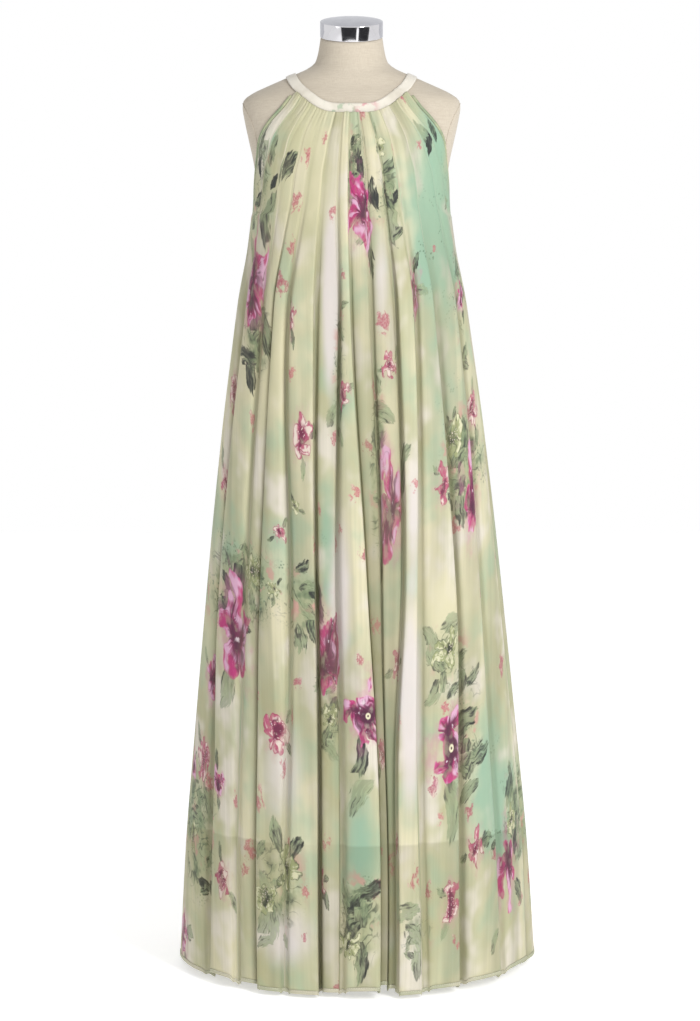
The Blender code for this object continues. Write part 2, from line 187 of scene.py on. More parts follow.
def sheet_piece(name, points, closed=False, **words):
    """A piece made of one grid of points."""
    rows, columns = points.shape[:2]
    faces = grid_faces(rows, columns, closed).tolist()
    return make_piece(name, points, faces, **words)


def thicken(piece, wall):
    """Cloth gets its wall outwards, so that it keeps clear of what is under it."""
    solid = piece.modifiers.new("wall", "SOLIDIFY")
    solid.thickness = wall
    solid.offset = 1
    return piece


def put_attribute(piece, name, values, domain="POINT"):
    """Stores four numbers for each point or corner, as a colour that a material reads."""
    layer = piece.data.color_attributes.new(name, "FLOAT_COLOR", domain)
    layer.data.foreach_set("color", np.asarray(values, np.float32).ravel())


def put_uv(piece, name, corners):
    """Stores a pair of numbers for each corner of each face."""
    layer = piece.data.uv_layers.new(name=name)
    layer.data.foreach_set("uv", np.asarray(corners, np.float32).ravel())


# %% [markdown]
# ## Shader maths as Python
#
# A finish is a small program. Wrapping a node's socket in a class lets `1 - mask * 0.5`
# add its own Math nodes, so the formula stays readable. Colours are mixed with Mix nodes.


# %% The socket class
class Wire:
    """A socket's value in a material's graph. Arithmetic on it adds Math nodes."""

    def __init__(self, graph, socket):
        self.graph, self.socket = graph, socket

    def math(self, operation, *others):
        return self.graph.node("ShaderNodeMath", {"operation": operation}, self, *others)

    def __add__(self, other):
        return self.math("ADD", other)

    def __sub__(self, other):
        return self.math("SUBTRACT", other)

    def __mul__(self, other):
        return self.math("MULTIPLY", other)

    def __truediv__(self, other):
        return self.math("DIVIDE", other)

    def __rsub__(self, other):
        return self.graph.node("ShaderNodeMath", {"operation": "SUBTRACT"}, other, self)

    def __pow__(self, other):
        return self.math("POWER", other)

    __radd__ = __add__
    __rmul__ = __mul__

    def part(self, name):
        """Another output of the same node."""
        return Wire(self.graph, self.socket.node.outputs[name])

    def axes(self):
        """The three numbers of a vector."""
        node = self.graph.node("ShaderNodeSeparateXYZ", {}, self)
        return node, node.part("Y"), node.part("Z")


class Graph:
    """A material under construction."""

    def __init__(self, name):
        self.material = bpy.data.materials.new(name)
        self.material.use_nodes = True
        self.material.node_tree.nodes.clear()

    def node(self, kind, settings, *places, **named):
        """Adds a node: its settings, then the values or links of its sockets."""
        node = self.material.node_tree.nodes.new(kind)
        for key, value in settings.items():
            setattr(node, key, value)
        sockets = list(zip(node.inputs, places))
        sockets += [(node.inputs[key.replace("_", " ")], named[key]) for key in named]
        for socket, value in sockets:
            if isinstance(value, Wire):
                self.material.node_tree.links.new(value.socket, socket)
            elif value is not None:
                socket.default_value = value
        shown = [output for output in node.outputs if output.enabled]
        return Wire(self, shown[0]) if shown else None

    def ramp(self, value, low, high):
        """0 at low, 1 at high, smooth between. low may be above high."""
        settings = {"interpolation_type": "SMOOTHSTEP"}
        if low > high:
            return 1 - self.node("ShaderNodeMapRange", settings, value, high, low)
        return self.node("ShaderNodeMapRange", settings, value, low, high)

    def mix(self, factor, first, second):
        """first where the factor is 0 and second where it is 1, as colours."""
        first, second = (c if isinstance(c, Wire) else (*c, 1) for c in (first, second))
        mixer = self.node("ShaderNodeMix", {"data_type": "RGBA"}, factor)
        links = self.material.node_tree.links
        # A Mix node's sockets 6 and 7 are its two colours.
        for socket, value in zip(mixer.socket.node.inputs[6:8], (first, second)):
            if isinstance(value, Wire):
                links.new(value.socket, socket)
            else:
                socket.default_value = value
        return mixer

    def noise(self, place, scale, detail=2.0, roughness=0.5, distortion=0.0):
        words = {"Scale": scale, "Detail": detail, "Roughness": roughness}
        words["Distortion"] = distortion
        return self.node("ShaderNodeTexNoise", {}, Vector=place, **words)

    def stretch(self, place, scale, offset=(0, 0, 0)):
        words = {"Scale": scale, "Location": offset}
        return self.node("ShaderNodeMapping", {}, place, **words)

    def uv(self, name):
        return self.node("ShaderNodeUVMap", {"uv_map": name})

    def attribute(self, name):
        return self.node("ShaderNodeAttribute", {"attribute_name": name})

    def position(self):
        return self.node("ShaderNodeTexCoord", {}).part("Object")

    def principled(self, **words):
        return self.node("ShaderNodeBsdfPrincipled", {}, **words)

    def bump(self, height, strength, distance):
        return self.node("ShaderNodeBump", {}, strength, distance, Height=height)

    def cloth(self, surface, share, colour):
        """A surface of which a share lets scattered light through."""
        through = self.node("ShaderNodeBsdfTranslucent", {}, (*colour, 1))
        return self.finish(self.node("ShaderNodeMixShader", {}, share, surface, through))

    def finish(self, surface):
        self.node("ShaderNodeOutputMaterial", {}, surface)
        return self.material


# %% [markdown]
# ## The body under the cloth
#
# The dress form is a stack of rings: half width, depth in front and behind, and how far
# a ring leans, for the neck. Below the arms the dress hangs clear of the form, so the
# cloth has a stack of rings of its own, on which the bottoms of its folds lie. A ring's
# corners are squared a little, as shoulders are.

# %% The sections
# height, half width, front depth, back depth, shift back, forward tilt, squareness
FORM_SECTIONS = (
    (787, 150, 106, 100, 0, 0, 0.04),
    (800, 160, 114, 108, 0, 0, 0.04),
    (840, 167, 118, 120, 0, 0, 0.04),
    (890, 168, 118, 124, 0, 0, 0.04),
    (950, 158, 111, 112, 0, 0, 0.04),
    (1020, 134, 97, 92, 0, 0, 0.04),
    (1080, 120, 89, 80, 0, 0, 0.04),
    (1150, 134, 98, 86, 0, 0, 0.05),
    (1210, 148, 110, 96, 0, 0, 0.06),
    (1255, 154, 115, 101, 0, 0, 0.06),
    (1300, 157, 112, 105, 0, 0, 0.07),
    (1350, 164, 103, 107, 0, 0, 0.08),
    (1387, 172, 94.5, 103, 0, 0, 0.08),
    (1420, 179, 87, 96, 0, 0, 0.07),
    (1440, 182, 82, 90, 0, 0, 0.05),
    (1452, 180, 78, 86, 0, 0, 0.03),
    (1458, 173, 75.5, 83, 0, 0, 0.01),
    (1465, 162, 73, 80, 0, 1, -0.01),
    (1475, 140, 69, 75, -1, 2, -0.02),
    (1485, 117, 66, 71, -3, 4, -0.02),
    (1495, 93, 62, 66, -5, 6, -0.01),
    (1503, 74, 58, 61, -8, 9, 0),
    (1513, 60.5, 54, 56, -12, 13, 0),
    (1530, 55, 50, 51, -17, 17, 0),
    (1553.7, 51, 48.2, 48.2, -22, 19, 0),
)
SKIRT_SECTIONS = (
    (0, 272, 232, 220, 0, 0, 0.02),
    (200, 263, 219, 206, 0, 0, 0.02),
    (410, 247, 203, 188, 0, 0, 0.02),
    (610, 231, 186, 170, 0, 0, 0.02),
    (780, 217, 171, 154, 0, 0, 0.03),
    (950, 201, 155, 138, 0, 0, 0.04),
    (1120, 182, 138, 122, 0, 0, 0.05),
    (1215, 167, 126, 112, 0, 0, 0.06),
    (1285, 161, 118, 108, 0, 0, 0.07),
    (1318, 162, 111, 108, 0, 0, 0.075),
)
CHEST_FROM = 1340  # above this height the cloth lies on the form
DRESS_SECTIONS = SKIRT_SECTIONS + tuple(row for row in FORM_SECTIONS if row[0] > CHEST_FROM)


def section_point(angle, height, sections):
    """x = half width * sin(angle) and y = -depth * cos(angle), both swollen at the
    corners by squareness * sin(2 angle)^2; the ring leans by its tilt."""
    half, front, back, shift, tilt, square = curve(sections, height / MM)
    swell = 1 + square * np.sin(2 * angle) ** 2
    run = -np.where(np.cos(angle) > 0, front, back) * MM * swell * np.cos(angle)
    across = half * MM * swell * np.sin(angle)
    rise = run * np.tan(np.radians(tilt))
    return np.stack([across, shift * MM + run, height + rise], -1)


def outward(angle, height, sections):
    """The unit normal: the cross product of the differences round and up the body."""
    near = 1e-4
    height = np.clip(height, near, sections[-1][0] * MM - near)
    around = section_point(angle + near, height, sections)
    around = around - section_point(angle - near, height, sections)
    upward = section_point(angle, height + near, sections)
    upward = upward - section_point(angle, height - near, sections)
    normal = np.cross(around, upward)
    return normal / np.linalg.norm(normal, axis=-1, keepdims=True)


SHOULDER_FROM, SHOULDER_TO, HALVINGS = 1.25, 1.52, 30


def under_plan(x, y):
    """The angle and height on the form's shoulders below a plan position, by halving an
    interval of heights until the ring there passes through it."""
    low, high = np.full(x.shape, SHOULDER_FROM), np.full(x.shape, SHOULDER_TO)
    for _ in range(HALVINGS):
        middle = (low + high) / 2
        half, front, back, shift, _, square = curve(FORM_SECTIONS, middle / MM)
        ahead = shift * MM - y
        sine = x / (half * MM)
        cosine = ahead / (np.where(ahead > 0, front, back) * MM)
        angle = np.arctan2(sine, cosine)
        inside = np.hypot(sine, cosine) < 1 + square * np.sin(2 * angle) ** 2
        low = np.where(inside, middle, low)
        high = np.where(inside, high, middle)
    return angle, middle


# %% [markdown]
# ## The neckline and the armholes
#
# The band is a ring of satin that lies on the shoulders. Seen from above it is a rounded
# square, so it is drawn there first and dropped onto the form. Each panel starts at the
# band's lower edge and is as wide as its armhole allows: a table says how far round the
# body the armhole's edge lies at each height.

# %% The neckline and the panels' edges
CLOTH_WALL = 0.5 * MM
HEM_GAP = 0.1 * MM  # between a cloth and its turned hem
BAND_WALL = 0.9 * MM
SEAM_GAP = 0.3 * MM
LINING_OUT, DRESS_OUT = 2.0 * MM, 3.6 * MM  # inner faces, out from the form
UNDERARM, HEM, LINING_HEM = 1257 * MM, 7 * MM, 245 * MM
BAND_WIDTH, BAND_HALF_WIDTH = 15 * MM, 101.5 * MM
BAND_FRONT, BAND_BACK, BAND_SQUARENESS = 85 * MM, 76 * MM, 3.0
NECK_REACH = 72  # degrees to each side that a panel may take up of the band
BINDING_WIDTH, BINDING_START, BINDING_RADIUS = 5 * MM, 0.035, 165 * MM
# height, angle of the front panel's edge, angle of the back panel's edge
ARMHOLE = (
    (1257, 90, 90),
    (1262, 84, 85),
    (1280, 78.5, 80),
    (1303, 74, 76),
    (1322, 69, 72),
    (1351, 62, 66),
    (1377, 55, 60),
    (1394, 49, 56),
    (1412, 42, 52),
    (1433, 34.5, 48),
    (1460, 29.5, 43),
    (1490, 26.5, 38),
)
# Inside the panel the cloth widens gradually to the side seams' 90 degrees.
SPREAD = ((1000, 90, 90), (1100, 90, 90)) + tuple(row for row in ARMHOLE if row[0] > 1320)


def neckline(turn, below):
    """Angle and height on the form, a distance below the band's middle line. In plan that
    line is |x/a|^n + |y/b|^n = 1."""

    def middle_line(turn):
        sine, cosine = np.sin(turn), np.cos(turn)
        power = BAND_SQUARENESS
        reach = (np.abs(sine) ** power + np.abs(cosine) ** power) ** (-1 / power)
        depth = np.where(cosine > 0, BAND_FRONT, BAND_BACK)
        return under_plan(BAND_HALF_WIDTH * reach * sine, -depth * reach * cosine)

    near = 0.01
    angle, height = middle_line(turn)
    point = section_point(angle, height, FORM_SECTIONS)
    ahead = section_point(*middle_line(turn + near), FORM_SECTIONS)
    down = np.cross(ahead - point, outward(angle, height, FORM_SECTIONS))
    down = down / np.linalg.norm(down, axis=-1, keepdims=True)
    target = point + down * np.asarray(below)[..., None]
    return under_plan(target[..., 0], target[..., 1])


def armhole_angle(height, behind):
    """How far round the body a panel reaches at a height."""
    return np.radians(curve(ARMHOLE, height / MM)[1 if behind else 0])


def panel_angle(share, height, behind):
    """share * (s + (a - s) |share|^6): s spreads gradually, a is the armhole's edge."""
    spread = np.radians(curve(SPREAD, height / MM)[1 if behind else 0])
    edge = armhole_angle(height, behind) - SEAM_GAP / 2 / BINDING_RADIUS
    angle = share * (spread + (edge - spread) * np.abs(share) ** 6)
    return angle + (math.pi if behind else 0)


def neck_height(share, below, behind):
    """The height at which a panel's column meets the neckband's lower edge."""
    turn = np.radians(np.linspace(-NECK_REACH, NECK_REACH, 2 * NECK_REACH + 1))
    angle, height = neckline(math.pi + turn if behind else turn, below)
    if behind:
        angle = np.where(angle > 0, angle - math.pi, angle + math.pi)
    return np.interp(share, angle / armhole_angle(height, behind), height)


print("band's front at height", neckline(np.zeros(1), np.zeros(1))[1].round(3))

# %% [markdown]
# ## The folds
#
# Chiffon that is gathered into a band falls in soft round flutes with narrow valleys. A
# fold is a wave whose phase runs once round between two valleys: a sine of twice the
# phase pushes its sides upright, a sine of the phase widens its crest. The table places
# each valley at six heights, as read off the dress, so folds can wander and fan out.

# %% The fold table and the panel function
FOLD_LEVELS = (1440, 1320, 1100, 670, 350, 0)
# band, chest, waist, thigh, knee, hem, yoke depth, waist depth, hem depth, valley out,
# lean, rise, flatness of the crest
FRONT_FOLDS = (
    (-1.00, -1.00, -1.00, -1.000, -1.000, -1.00, 0.3, 7, 29, 0, -0.06, 7, 1.2),
    (-0.86, -0.80, -0.72, -0.720, -0.640, -0.60, 0.5, 7, 27, 14, -0.10, 12, 1.9),
    (-0.66, -0.60, -0.53, -0.520, -0.490, -0.46, 0.3, 6, 22, 18, 0.08, 8, 1.0),
    (-0.52, -0.47, -0.45, -0.440, -0.400, -0.37, 0.5, 10, 29, 3, -0.10, 2, 1.4),
    (-0.38, -0.36, -0.36, -0.290, -0.270, -0.26, 0.3, 13, 24, 17, 0.10, 0, 2.0),
    (-0.22, -0.24, -0.20, -0.170, -0.150, -0.13, 0.4, 8, 17, 0, 0.04, 3, 1.0),
    (-0.12, -0.12, -0.07, -0.075, -0.065, -0.06, 4.2, 14, 28, 13, 0.14, 9, 1.5),
    (-0.03, -0.03, -0.015, 0.060, 0.090, 0.080, 0.4, 5, 8, 5, 0.00, 13, 1.0),
    (0.10, 0.12, 0.105, 0.125, 0.125, 0.11, 2.4, 8, 8, 0, -0.04, 7, 1.0),
    (0.23, 0.26, 0.25, 0.222, 0.165, 0.14, 0.8, 14, 29, 12, -0.10, 1, 2.0),
    (0.40, 0.38, 0.36, 0.283, 0.255, 0.24, 1.6, 11, 25, 17, 0.10, 6, 1.3),
    (0.58, 0.53, 0.48, 0.480, 0.430, 0.39, 0.4, 7, 28, 5, 0.12, 10, 1.1),
    (0.72, 0.72, 0.69, 0.640, 0.600, 0.59, 0.6, 9, 26, 16, 0.09, 13, 1.7),
    (0.86, 0.86, 0.86, 0.860, 0.870, 0.80, 0.3, 7, 29, 12, 0.06, 9, 1.2),
)
# height, shares of the yoke's depth, of the waist's, and of what the hem adds
FOLD_GROWTH = (
    (0, 0, 1, 1),
    (100, 0, 1, 0.90),
    (345, 0, 1, 0.72),
    (665, 0, 1, 0.46),
    (900, 0, 1, 0.20),
    (1105, 0.1, 0.78, 0),
    (1215, 0.6, 0.32, 0),
    (1320, 1, 0.05, 0),
    (1440, 1, 0, 0),
)
# height, steepness of a fold's sides, breadth of its crest: soft at the yoke, then
# steeper, until the sides stand almost square to the crest
FOLD_SHAPE = (
    (0, 0.47, 1.00),
    (900, 0.46, 0.92),
    (1150, 0.40, 0.70),
    (1320, 0.30, 0.50),
    (1440, 0.30, 0.40),
)
SEAM_STRIP = 0.02  # flat strip at a side seam, as a share of the panel's half width
EDGE_CALM, EDGE_DEPTH = 0.1, 0.25  # folds are shallower beside the armhole
SWAY = 9 * MM  # the skirt swings this far towards +X at the floor
LEVEL_BELOW, TILTED_ABOVE = 1.2, 1.3  # the cloth's rows lean as the form's rings do above
GATHER_REACH = 150 * MM  # how far down from the band the middling pleats die out
HEM_POINT = 4 * MM  # the hem hangs so much lower where a fold turns
YOKE_ROWS, SKIRT_ROWS = 46, 112
FOLD_COLUMNS = 18  # to a fold
FINE_GATHER, MIXED_GATHER, LONG_GATHER, CREASE = 1.3 * MM, 1.0 * MM, 0.6 * MM, 0.6 * MM
CREASED_BELOW = 1.30


def back_folds(count=11):
    """Folds whose width, depth, lean and hem follow sines, so that no two are alike."""
    i = np.arange(count)
    start = 2 * i / count - 1 + 0.045 * np.sin(2.4 * i)
    depth, lean = 24 + 5 * np.sin(1.7 * i + 1), 0.06 * np.sin(2.1 * i)
    rise, valley, flat = 6 + 5 * np.sin(1.3 * i), 4 + 4 * np.sin(2.9 * i), 1.5 + 0.4 * np.sin(i)
    one = np.ones(count)
    return np.column_stack([start] * 6 + [one, 10 * one, depth, valley, lean, rise, flat])


BACK_FOLDS = back_folds()


def fold_columns(folds):
    """The fold's number, the way through it and the share's scale, for each column."""
    last = len(folds) * FOLD_COLUMNS
    steps = np.clip(np.arange(-1, last + 2), 0, last)
    number = np.minimum(steps // FOLD_COLUMNS, len(folds) - 1)
    scale = np.full(steps.shape, 1 - SEAM_STRIP)
    scale[[0, -1]] = 1
    return number, (steps - number * FOLD_COLUMNS) / FOLD_COLUMNS, scale


def fold_shape(folds, number, through, height):
    """place = t + (k sin 2p - b sin p) / 2pi + lean (1 - cos p) / 2, and
    depth = 1 - ((1 + cos p) / 2)^flatness, with p = 2pi t."""
    folds = np.array(folds, float)
    right = np.vstack([folds[1:], folds[0]])
    right[-1, : len(FOLD_LEVELS)] = 1
    level = np.clip(height / MM, 0, FOLD_LEVELS[0])
    starts = curve(np.column_stack([FOLD_LEVELS, folds[:, : len(FOLD_LEVELS)].T]), level)
    ends = curve(np.column_stack([FOLD_LEVELS, right[:, : len(FOLD_LEVELS)].T]), level)
    column = np.broadcast_to(number, height.shape)
    start = np.take_along_axis(starts, column[None], 0)[0]
    end = np.take_along_axis(ends, column[None], 0)[0]
    yoke, waist, hem, floor, lean = (folds[number, k] for k in (6, 7, 8, 9, 10))
    phase = 2 * math.pi * through
    steep, broad = curve(FOLD_SHAPE, level)
    place = steep * np.sin(2 * phase) - broad * np.sin(phase)
    place = through + place / (2 * math.pi) + lean * (1 - np.cos(phase)) / 2
    top_part, near_part, far_part = curve(FOLD_GROWTH, level)
    floor = floor * (1 - through) + right[number, 9] * through
    depth = yoke * top_part + waist * near_part + (hem - floor - waist) * far_part
    crest = 1 - ((1 + np.cos(phase)) / 2) ** folds[number, 12]
    out = depth * crest + floor * far_part
    return start + (end - start) * place, out * MM


def cloth_point(angle, height, out):
    """The body's surface moved out along its normal, or level below the chest, and swayed
    to one side."""
    point = section_point(angle, height, DRESS_SECTIONS)
    point = point + outward(angle, height, DRESS_SECTIONS) * out[..., None]
    tilt_kept = smooth_step((height - LEVEL_BELOW) / (TILTED_ABOVE - LEVEL_BELOW))
    point[..., 2] = height + (point[..., 2] - height) * tilt_kept
    point[..., 0] += SWAY * np.clip(1 - height / UNDERARM, 0, 1)
    return point


def gathers(share, fall):
    """Fine pleats below the band: sines of several pitches, each dying out at its own
    distance down, in metres."""
    fine = np.abs(np.sin(37 * share + 1.6 * np.sin(5 * share))) ** 0.7 * FINE_GATHER
    mixed = np.abs(np.sin(61 * share + 2 * np.sin(3.1 * share + 1))) * MIXED_GATHER
    long = (1 + np.sin(19 * share + 1.8 * np.sin(7 * share))) * LONG_GATHER
    uneven = 0.55 + 0.45 * np.sin(6.3 * share + 2 * np.sin(4 * share + 2))
    near = 1 - smooth_step(fall / (0.35 * GATHER_REACH))
    far = 1 - smooth_step(fall / (GATHER_REACH * (0.4 + uneven * 0.6)))
    longest = 1 - smooth_step(fall / (2.6 * GATHER_REACH))
    return mixed * near + fine * far * uneven + long * longest


def creases(share, height):
    """Shallow flutes on the broad folds: sines that drift sideways as they fall. They
    deepen from nothing at the chest to about 2 mm at the hem."""
    fall = np.clip(1 - height / CREASED_BELOW, 0, 1)
    narrow = np.sin(43 * share + 2.2 * np.sin(2.7 * height + 3 * share) + 1)
    wide = np.sin(26 * share + 1.7 * np.sin(1.9 * height - 4 * share))
    strength = 0.6 + 0.4 * np.sin(9 * share + 3 * height)
    return (2 + narrow + wide) * strength * fall**0.6 * CREASE


def dress_panel(folds, behind, rows=None, lift=0.0):
    """Points of the front or the back: down the yoke to the underarm, then to the hem.
    rows are distances above the hem, for a strip along it."""
    number, through, scale = fold_columns(folds)
    first = np.full(number.shape, FOLD_LEVELS[0] * MM)
    neck_share = fold_shape(folds, number, through, first)[0] * scale
    rise = np.array(folds)[number, 11] * MM * np.abs(np.sin(math.pi * through)) ** 0.8
    turned_edges = np.exp(-(((np.abs(through - 0.5) - 0.3) / 0.07) ** 2))
    hem = HEM + rise - HEM_POINT * turned_edges
    top = neck_height(neck_share, BAND_WIDTH / 2 + SEAM_GAP, behind)
    if rows is None:
        yoke = np.linspace(0, 1, YOKE_ROWS, endpoint=False)[:, None] ** 1.25
        skirt = np.linspace(0, 1, SKIRT_ROWS)[:, None]
        height = [top + (UNDERARM - top) * yoke, UNDERARM + (hem - UNDERARM) * skirt]
        height = np.vstack(height)
    else:
        height = hem + np.array(rows)[:, None]
    share, out = fold_shape(folds, number, through, height)
    share = share * scale
    share = share + 0.005 * np.sin(9 * share + 7 * height) * (1 - share * share)
    angle = panel_angle(share, height, behind)
    out = out + gathers(share, top - height) + creases(share, height)
    calm = EDGE_DEPTH + (1 - EDGE_DEPTH) * smooth_step((1 - np.abs(share)) / EDGE_CALM)
    out = out * np.where(height > UNDERARM + SEAM_GAP, calm, 1)
    return cloth_point(angle, height, DRESS_OUT + out + lift)


front_points = dress_panel(FRONT_FOLDS, False)
back_points = dress_panel(BACK_FOLDS, True)
print("front panel", front_points.shape, "back panel", back_points.shape)

# %% [markdown]
# ## A chart of the flat cloth
#
# The print was on the cloth before the cloth was gathered. So each point of a panel gets
# its place on the flat cloth: how far down its thread it lies, and how far across, which
# is the row's length so far. The cloth was cut wider than the rows measure. The rest is
# tucked away in the valleys, so the print jumps there, as it does on real gathers.

# %% The chart
CUT_WIDTHS = ((0, 1.40), (350, 1.27), (700, 1.11), (1100, 0.94), (1257, 0.87), (1460, 0.75))


def arc_lengths(points, axis):
    """The length so far at each point, along one axis of a grid."""
    step = np.linalg.norm(np.diff(points, axis=axis), axis=-1)
    pad = [(0, 0), (0, 0)]
    pad[axis] = (1, 0)
    return np.pad(np.cumsum(step, axis=axis), pad)


def cut_width(points):
    """The width of the flat cloth, row by row."""
    wide = curve(CUT_WIDTHS, points[:, points.shape[1] // 2, 2] / MM)[0]
    return np.maximum(arc_lengths(points, 1)[:, -1], wide)


def flat_chart(points, through):
    """Across and down the flat cloth, in metres. What the row lacks of the cut's width
    is added near the valleys, in shares of ((1 + cos 2 pi t) / 2)^8."""
    along, down = arc_lengths(points, 1), arc_lengths(points, 0)
    tuck = ((1 + np.cos(2 * math.pi * through)) / 2) ** 8
    tucked = np.cumsum(tuck) / tuck.sum()
    wide = cut_width(points)[:, None]
    across = along + tucked * (wide - along[:, -1:]) - wide / 2
    return np.stack([across, down], -1)


def cloth_area(points):
    """Half the cross product of each quad's diagonals, added up."""
    one, two = points[1:, 1:] - points[:-1, :-1], points[1:, :-1] - points[:-1, 1:]
    return np.linalg.norm(np.cross(one, two), axis=-1).sum() / 2


front_chart = flat_chart(front_points, fold_columns(FRONT_FOLDS)[1])
back_chart = flat_chart(back_points, fold_columns(BACK_FOLDS)[1])
print("row lengths:", arc_lengths(front_points, 1)[[YOKE_ROWS, -1], -1].round(3))
print("cloth areas:", round(cloth_area(front_points), 3), round(cloth_area(back_points), 3))

# %% [markdown]
# ## The print's plan
#
# The print is an ordinary watercolour garden: large magenta blooms, dusty pink ones with
# pale insides, grey-green ones, leaves, small pink florets and soft washes of mint, teal
# and lilac. No picture is stored. A few short tables say where a bloom shows on the hung
# dress and how large it is, and the rest is scattered by a seeded generator. Each face
# then gets its place inside the nearest motif, which the shader draws by formula.

# %% Tables of motifs, in mm as they show from the front
MAGENTA_WITH_EYE, MAGENTA, DUSTY, GREEN = -1.0, 0.0, 1.0, 2.0
# across, up, radius down the cloth, and how far fine gathers squeeze it across
MAGENTA_BLOOMS = (
    (-165, 1150, 95, 0.45),
    (22, 1262, 74, 0.55),
    (105, 1135, 44, 0.5),
    (185, 1120, 28, 0.5),
    (70, 775, 105, 0.35),
    (205, 805, 84, 0.5),
    (-195, 550, 90, 0.65),
    (-40, 520, 90, 0.5),
    (275, 155, 80, 0.5),
    (-285, 35, 48, 0.5),
    (-240, 475, 44, 0.5),
    (-230, 300, 30, 0.6),
    (-268, 330, 26, 0.6),
)
EYED_BLOOMS = ((30, 410, 62, 0.75), (170, 360, 78, 0.65))
DUSTY_BLOOMS = (
    (65, 1010, 32, 0.5),
    (-85, 895, 50, 0.5),
    (155, 815, 36, 0.55),
    (205, 935, 38, 0.45),
    (-200, 960, 36, 0.4),
    (-215, 815, 34, 0.4),
    (-130, 390, 42, 0.75),
    (80, 500, 30, 0.5),
    (-225, 130, 38, 0.6),
    (175, 95, 38, 0.65),
    (210, 190, 44, 0.45),
    (-255, 340, 42, 0.5),
    (50, 350, 28, 0.4),
    (-15, 960, 26, 0.55),
    (-50, 125, 34, 0.35),
    (-120, 725, 22, 0.7),
    (-105, 1095, 28, 0.4),
)
GREEN_BLOOMS = (
    (170, 885, 40, 0.65),
    (-170, 655, 42, 0.65),
    (160, 525, 42, 0.6),
    (-110, 145, 44, 0.75),
    (-150, 95, 34, 0.65),
    (-40, 410, 26, 0.6),
    (-5, 20, 28, 0.9),
    (-270, 205, 34, 0.45),
    (45, 1380, 26, 0.65),
    (-130, 625, 16, 0.8),
    (-95, 770, 16, 0.7),
    (275, 225, 36, 0.45),
)
# across, up, half length, turn in degrees from level, darkness
LEAVES = (
    (-146, 1374, 34, 98, 0.4),
    (-133, 1372, 28, 84, 0.5),
    (-153, 1343, 18, 100, 1.5),
    (-107, 1346, 42, 54, 0.9),
    (-128, 1317, 22, 60, 1.6),
    (-118, 1338, 34, 72, 0.6),
    (135, 1410, 26, 70, 0.9),
    (120, 1395, 32, 110, 0.4),
    (10, 1370, 26, 60, 0.8),
    (16, 1345, 32, 110, 1.3),
    (4, 1330, 24, 80, 1.0),
    (34, 1300, 30, 95, 1.4),
    (60, 1290, 30, -55, 1.0),
    (74, 1296, 22, 30, 1.3),
    (130, 1385, 24, 250, 1.5),
    (-145, 1265, 55, 80, 0.8),
    (120, 1140, 20, -20, 0.3),
    (40, 895, 22, 80, 0.8),
    (10, 280, 46, 50, 0.3),
    (10, 70, 46, 88, 0.5),
    (110, 35, 44, -50, 0.4),
    (-150, 20, 28, 20, 0.4),
    (195, 365, 32, 85, 0.8),
    (245, 190, 18, 10, 0.9),
    (245, 25, 24, 60, 0.4),
    (-35, 925, 24, 60, 0.4),
    (-260, 260, 28, 90, 0.5),
    (-150, 1070, 34, 100, 0.7),
)
# across, up
FLORETS = (
    (-45, 1390), (-90, 1285), (-100, 1205), (-120, 1155), (15, 1430), (-15, 1165),
    (-165, 920), (40, 965), (110, 805), (-20, 735), (-235, 240), (-175, 180),
    (-85, 25), (65, 155), (15, 505), (140, 300), (155, 430), (135, 105), (-90, 465),
    (-160, 270), (180, 20),
)
# across, up, half width, half height, strength; a teal wash below nothing is a cream one
TEAL_WASHES = (
    (130, 1320, 45, 120, 0.8),
    (150, 1205, 40, 90, 0.7),
    (150, 1000, 35, 150, 0.5),
    (-120, 715, 24, 60, 0.6),
    (-40, 715, 16, 110, 0.9),
    (10, 200, 30, 110, 0.65),
    (245, 275, 45, 110, 1.0),
    (-165, 1360, 20, 60, 0.5),
    (-135, 1395, 22, 45, 0.8),
    (160, 700, 45, 80, 0.5),
    (-215, 690, 40, 60, 0.6),
    (-20, 930, 22, 60, 0.5),
    (-190, 400, 30, 80, 0.4),
    (-75, 1320, 60, 150, -0.9),
    (-150, 1010, 75, 110, -0.8),
    (160, 600, 55, 110, -0.9),
    (60, 880, 40, 160, -0.7),
    (-250, 560, 40, 90, -0.6),
    (-120, 180, 60, 80, -0.5),
)
LILAC_WASHES = (
    (-35, 1130, 16, 170, 1.0),
    (50, 1150, 16, 110, 0.6),
    (100, 430, 20, 180, 1.0),
    (-20, 620, 22, 160, 0.8),
    (-120, 320, 45, 110, 0.6),
    (-110, 30, 60, 60, 0.7),
    (60, 30, 45, 40, 0.4),
    (105, 780, 14, 120, 0.7),
    (-250, 900, 25, 140, 0.4),
)
FOLIAGE_WASHES = (
    (-160, 1330, 25, 80, 0.7),
    (10, 1320, 16, 90, 0.9),
    (60, 1290, 22, 60, 0.7),
    (-160, 1060, 22, 70, 0.9),
    (-190, 640, 60, 70, 0.9),
    (-80, 600, 30, 60, 0.7),
    (190, 850, 35, 80, 0.9),
    (15, 60, 30, 80, 0.9),
    (-260, 220, 25, 120, 1.0),
    (190, 400, 32, 110, 0.7),
    (45, 830, 12, 140, 1.0),
    (-35, 420, 16, 90, 0.6),
    (-120, 120, 45, 90, 0.6),
    (110, 40, 30, 50, 0.6),
    (160, 520, 30, 60, 0.6),
    (-20, 1000, 14, 120, 0.5),
    (185, 1200, 14, 160, 0.6),
    (280, 250, 22, 80, 0.8),
)
print(len(MAGENTA_BLOOMS + DUSTY_BLOOMS + GREEN_BLOOMS), "blooms placed by hand")


# %% [markdown]
# ## The motifs, laid on the cloth
#
# A table's spot is looked up on the hung dress: the front-most cloth that shows there
# gives the motif its place on the flat cloth. Each face is then told where it lies in the
# nearest motif of each kind.


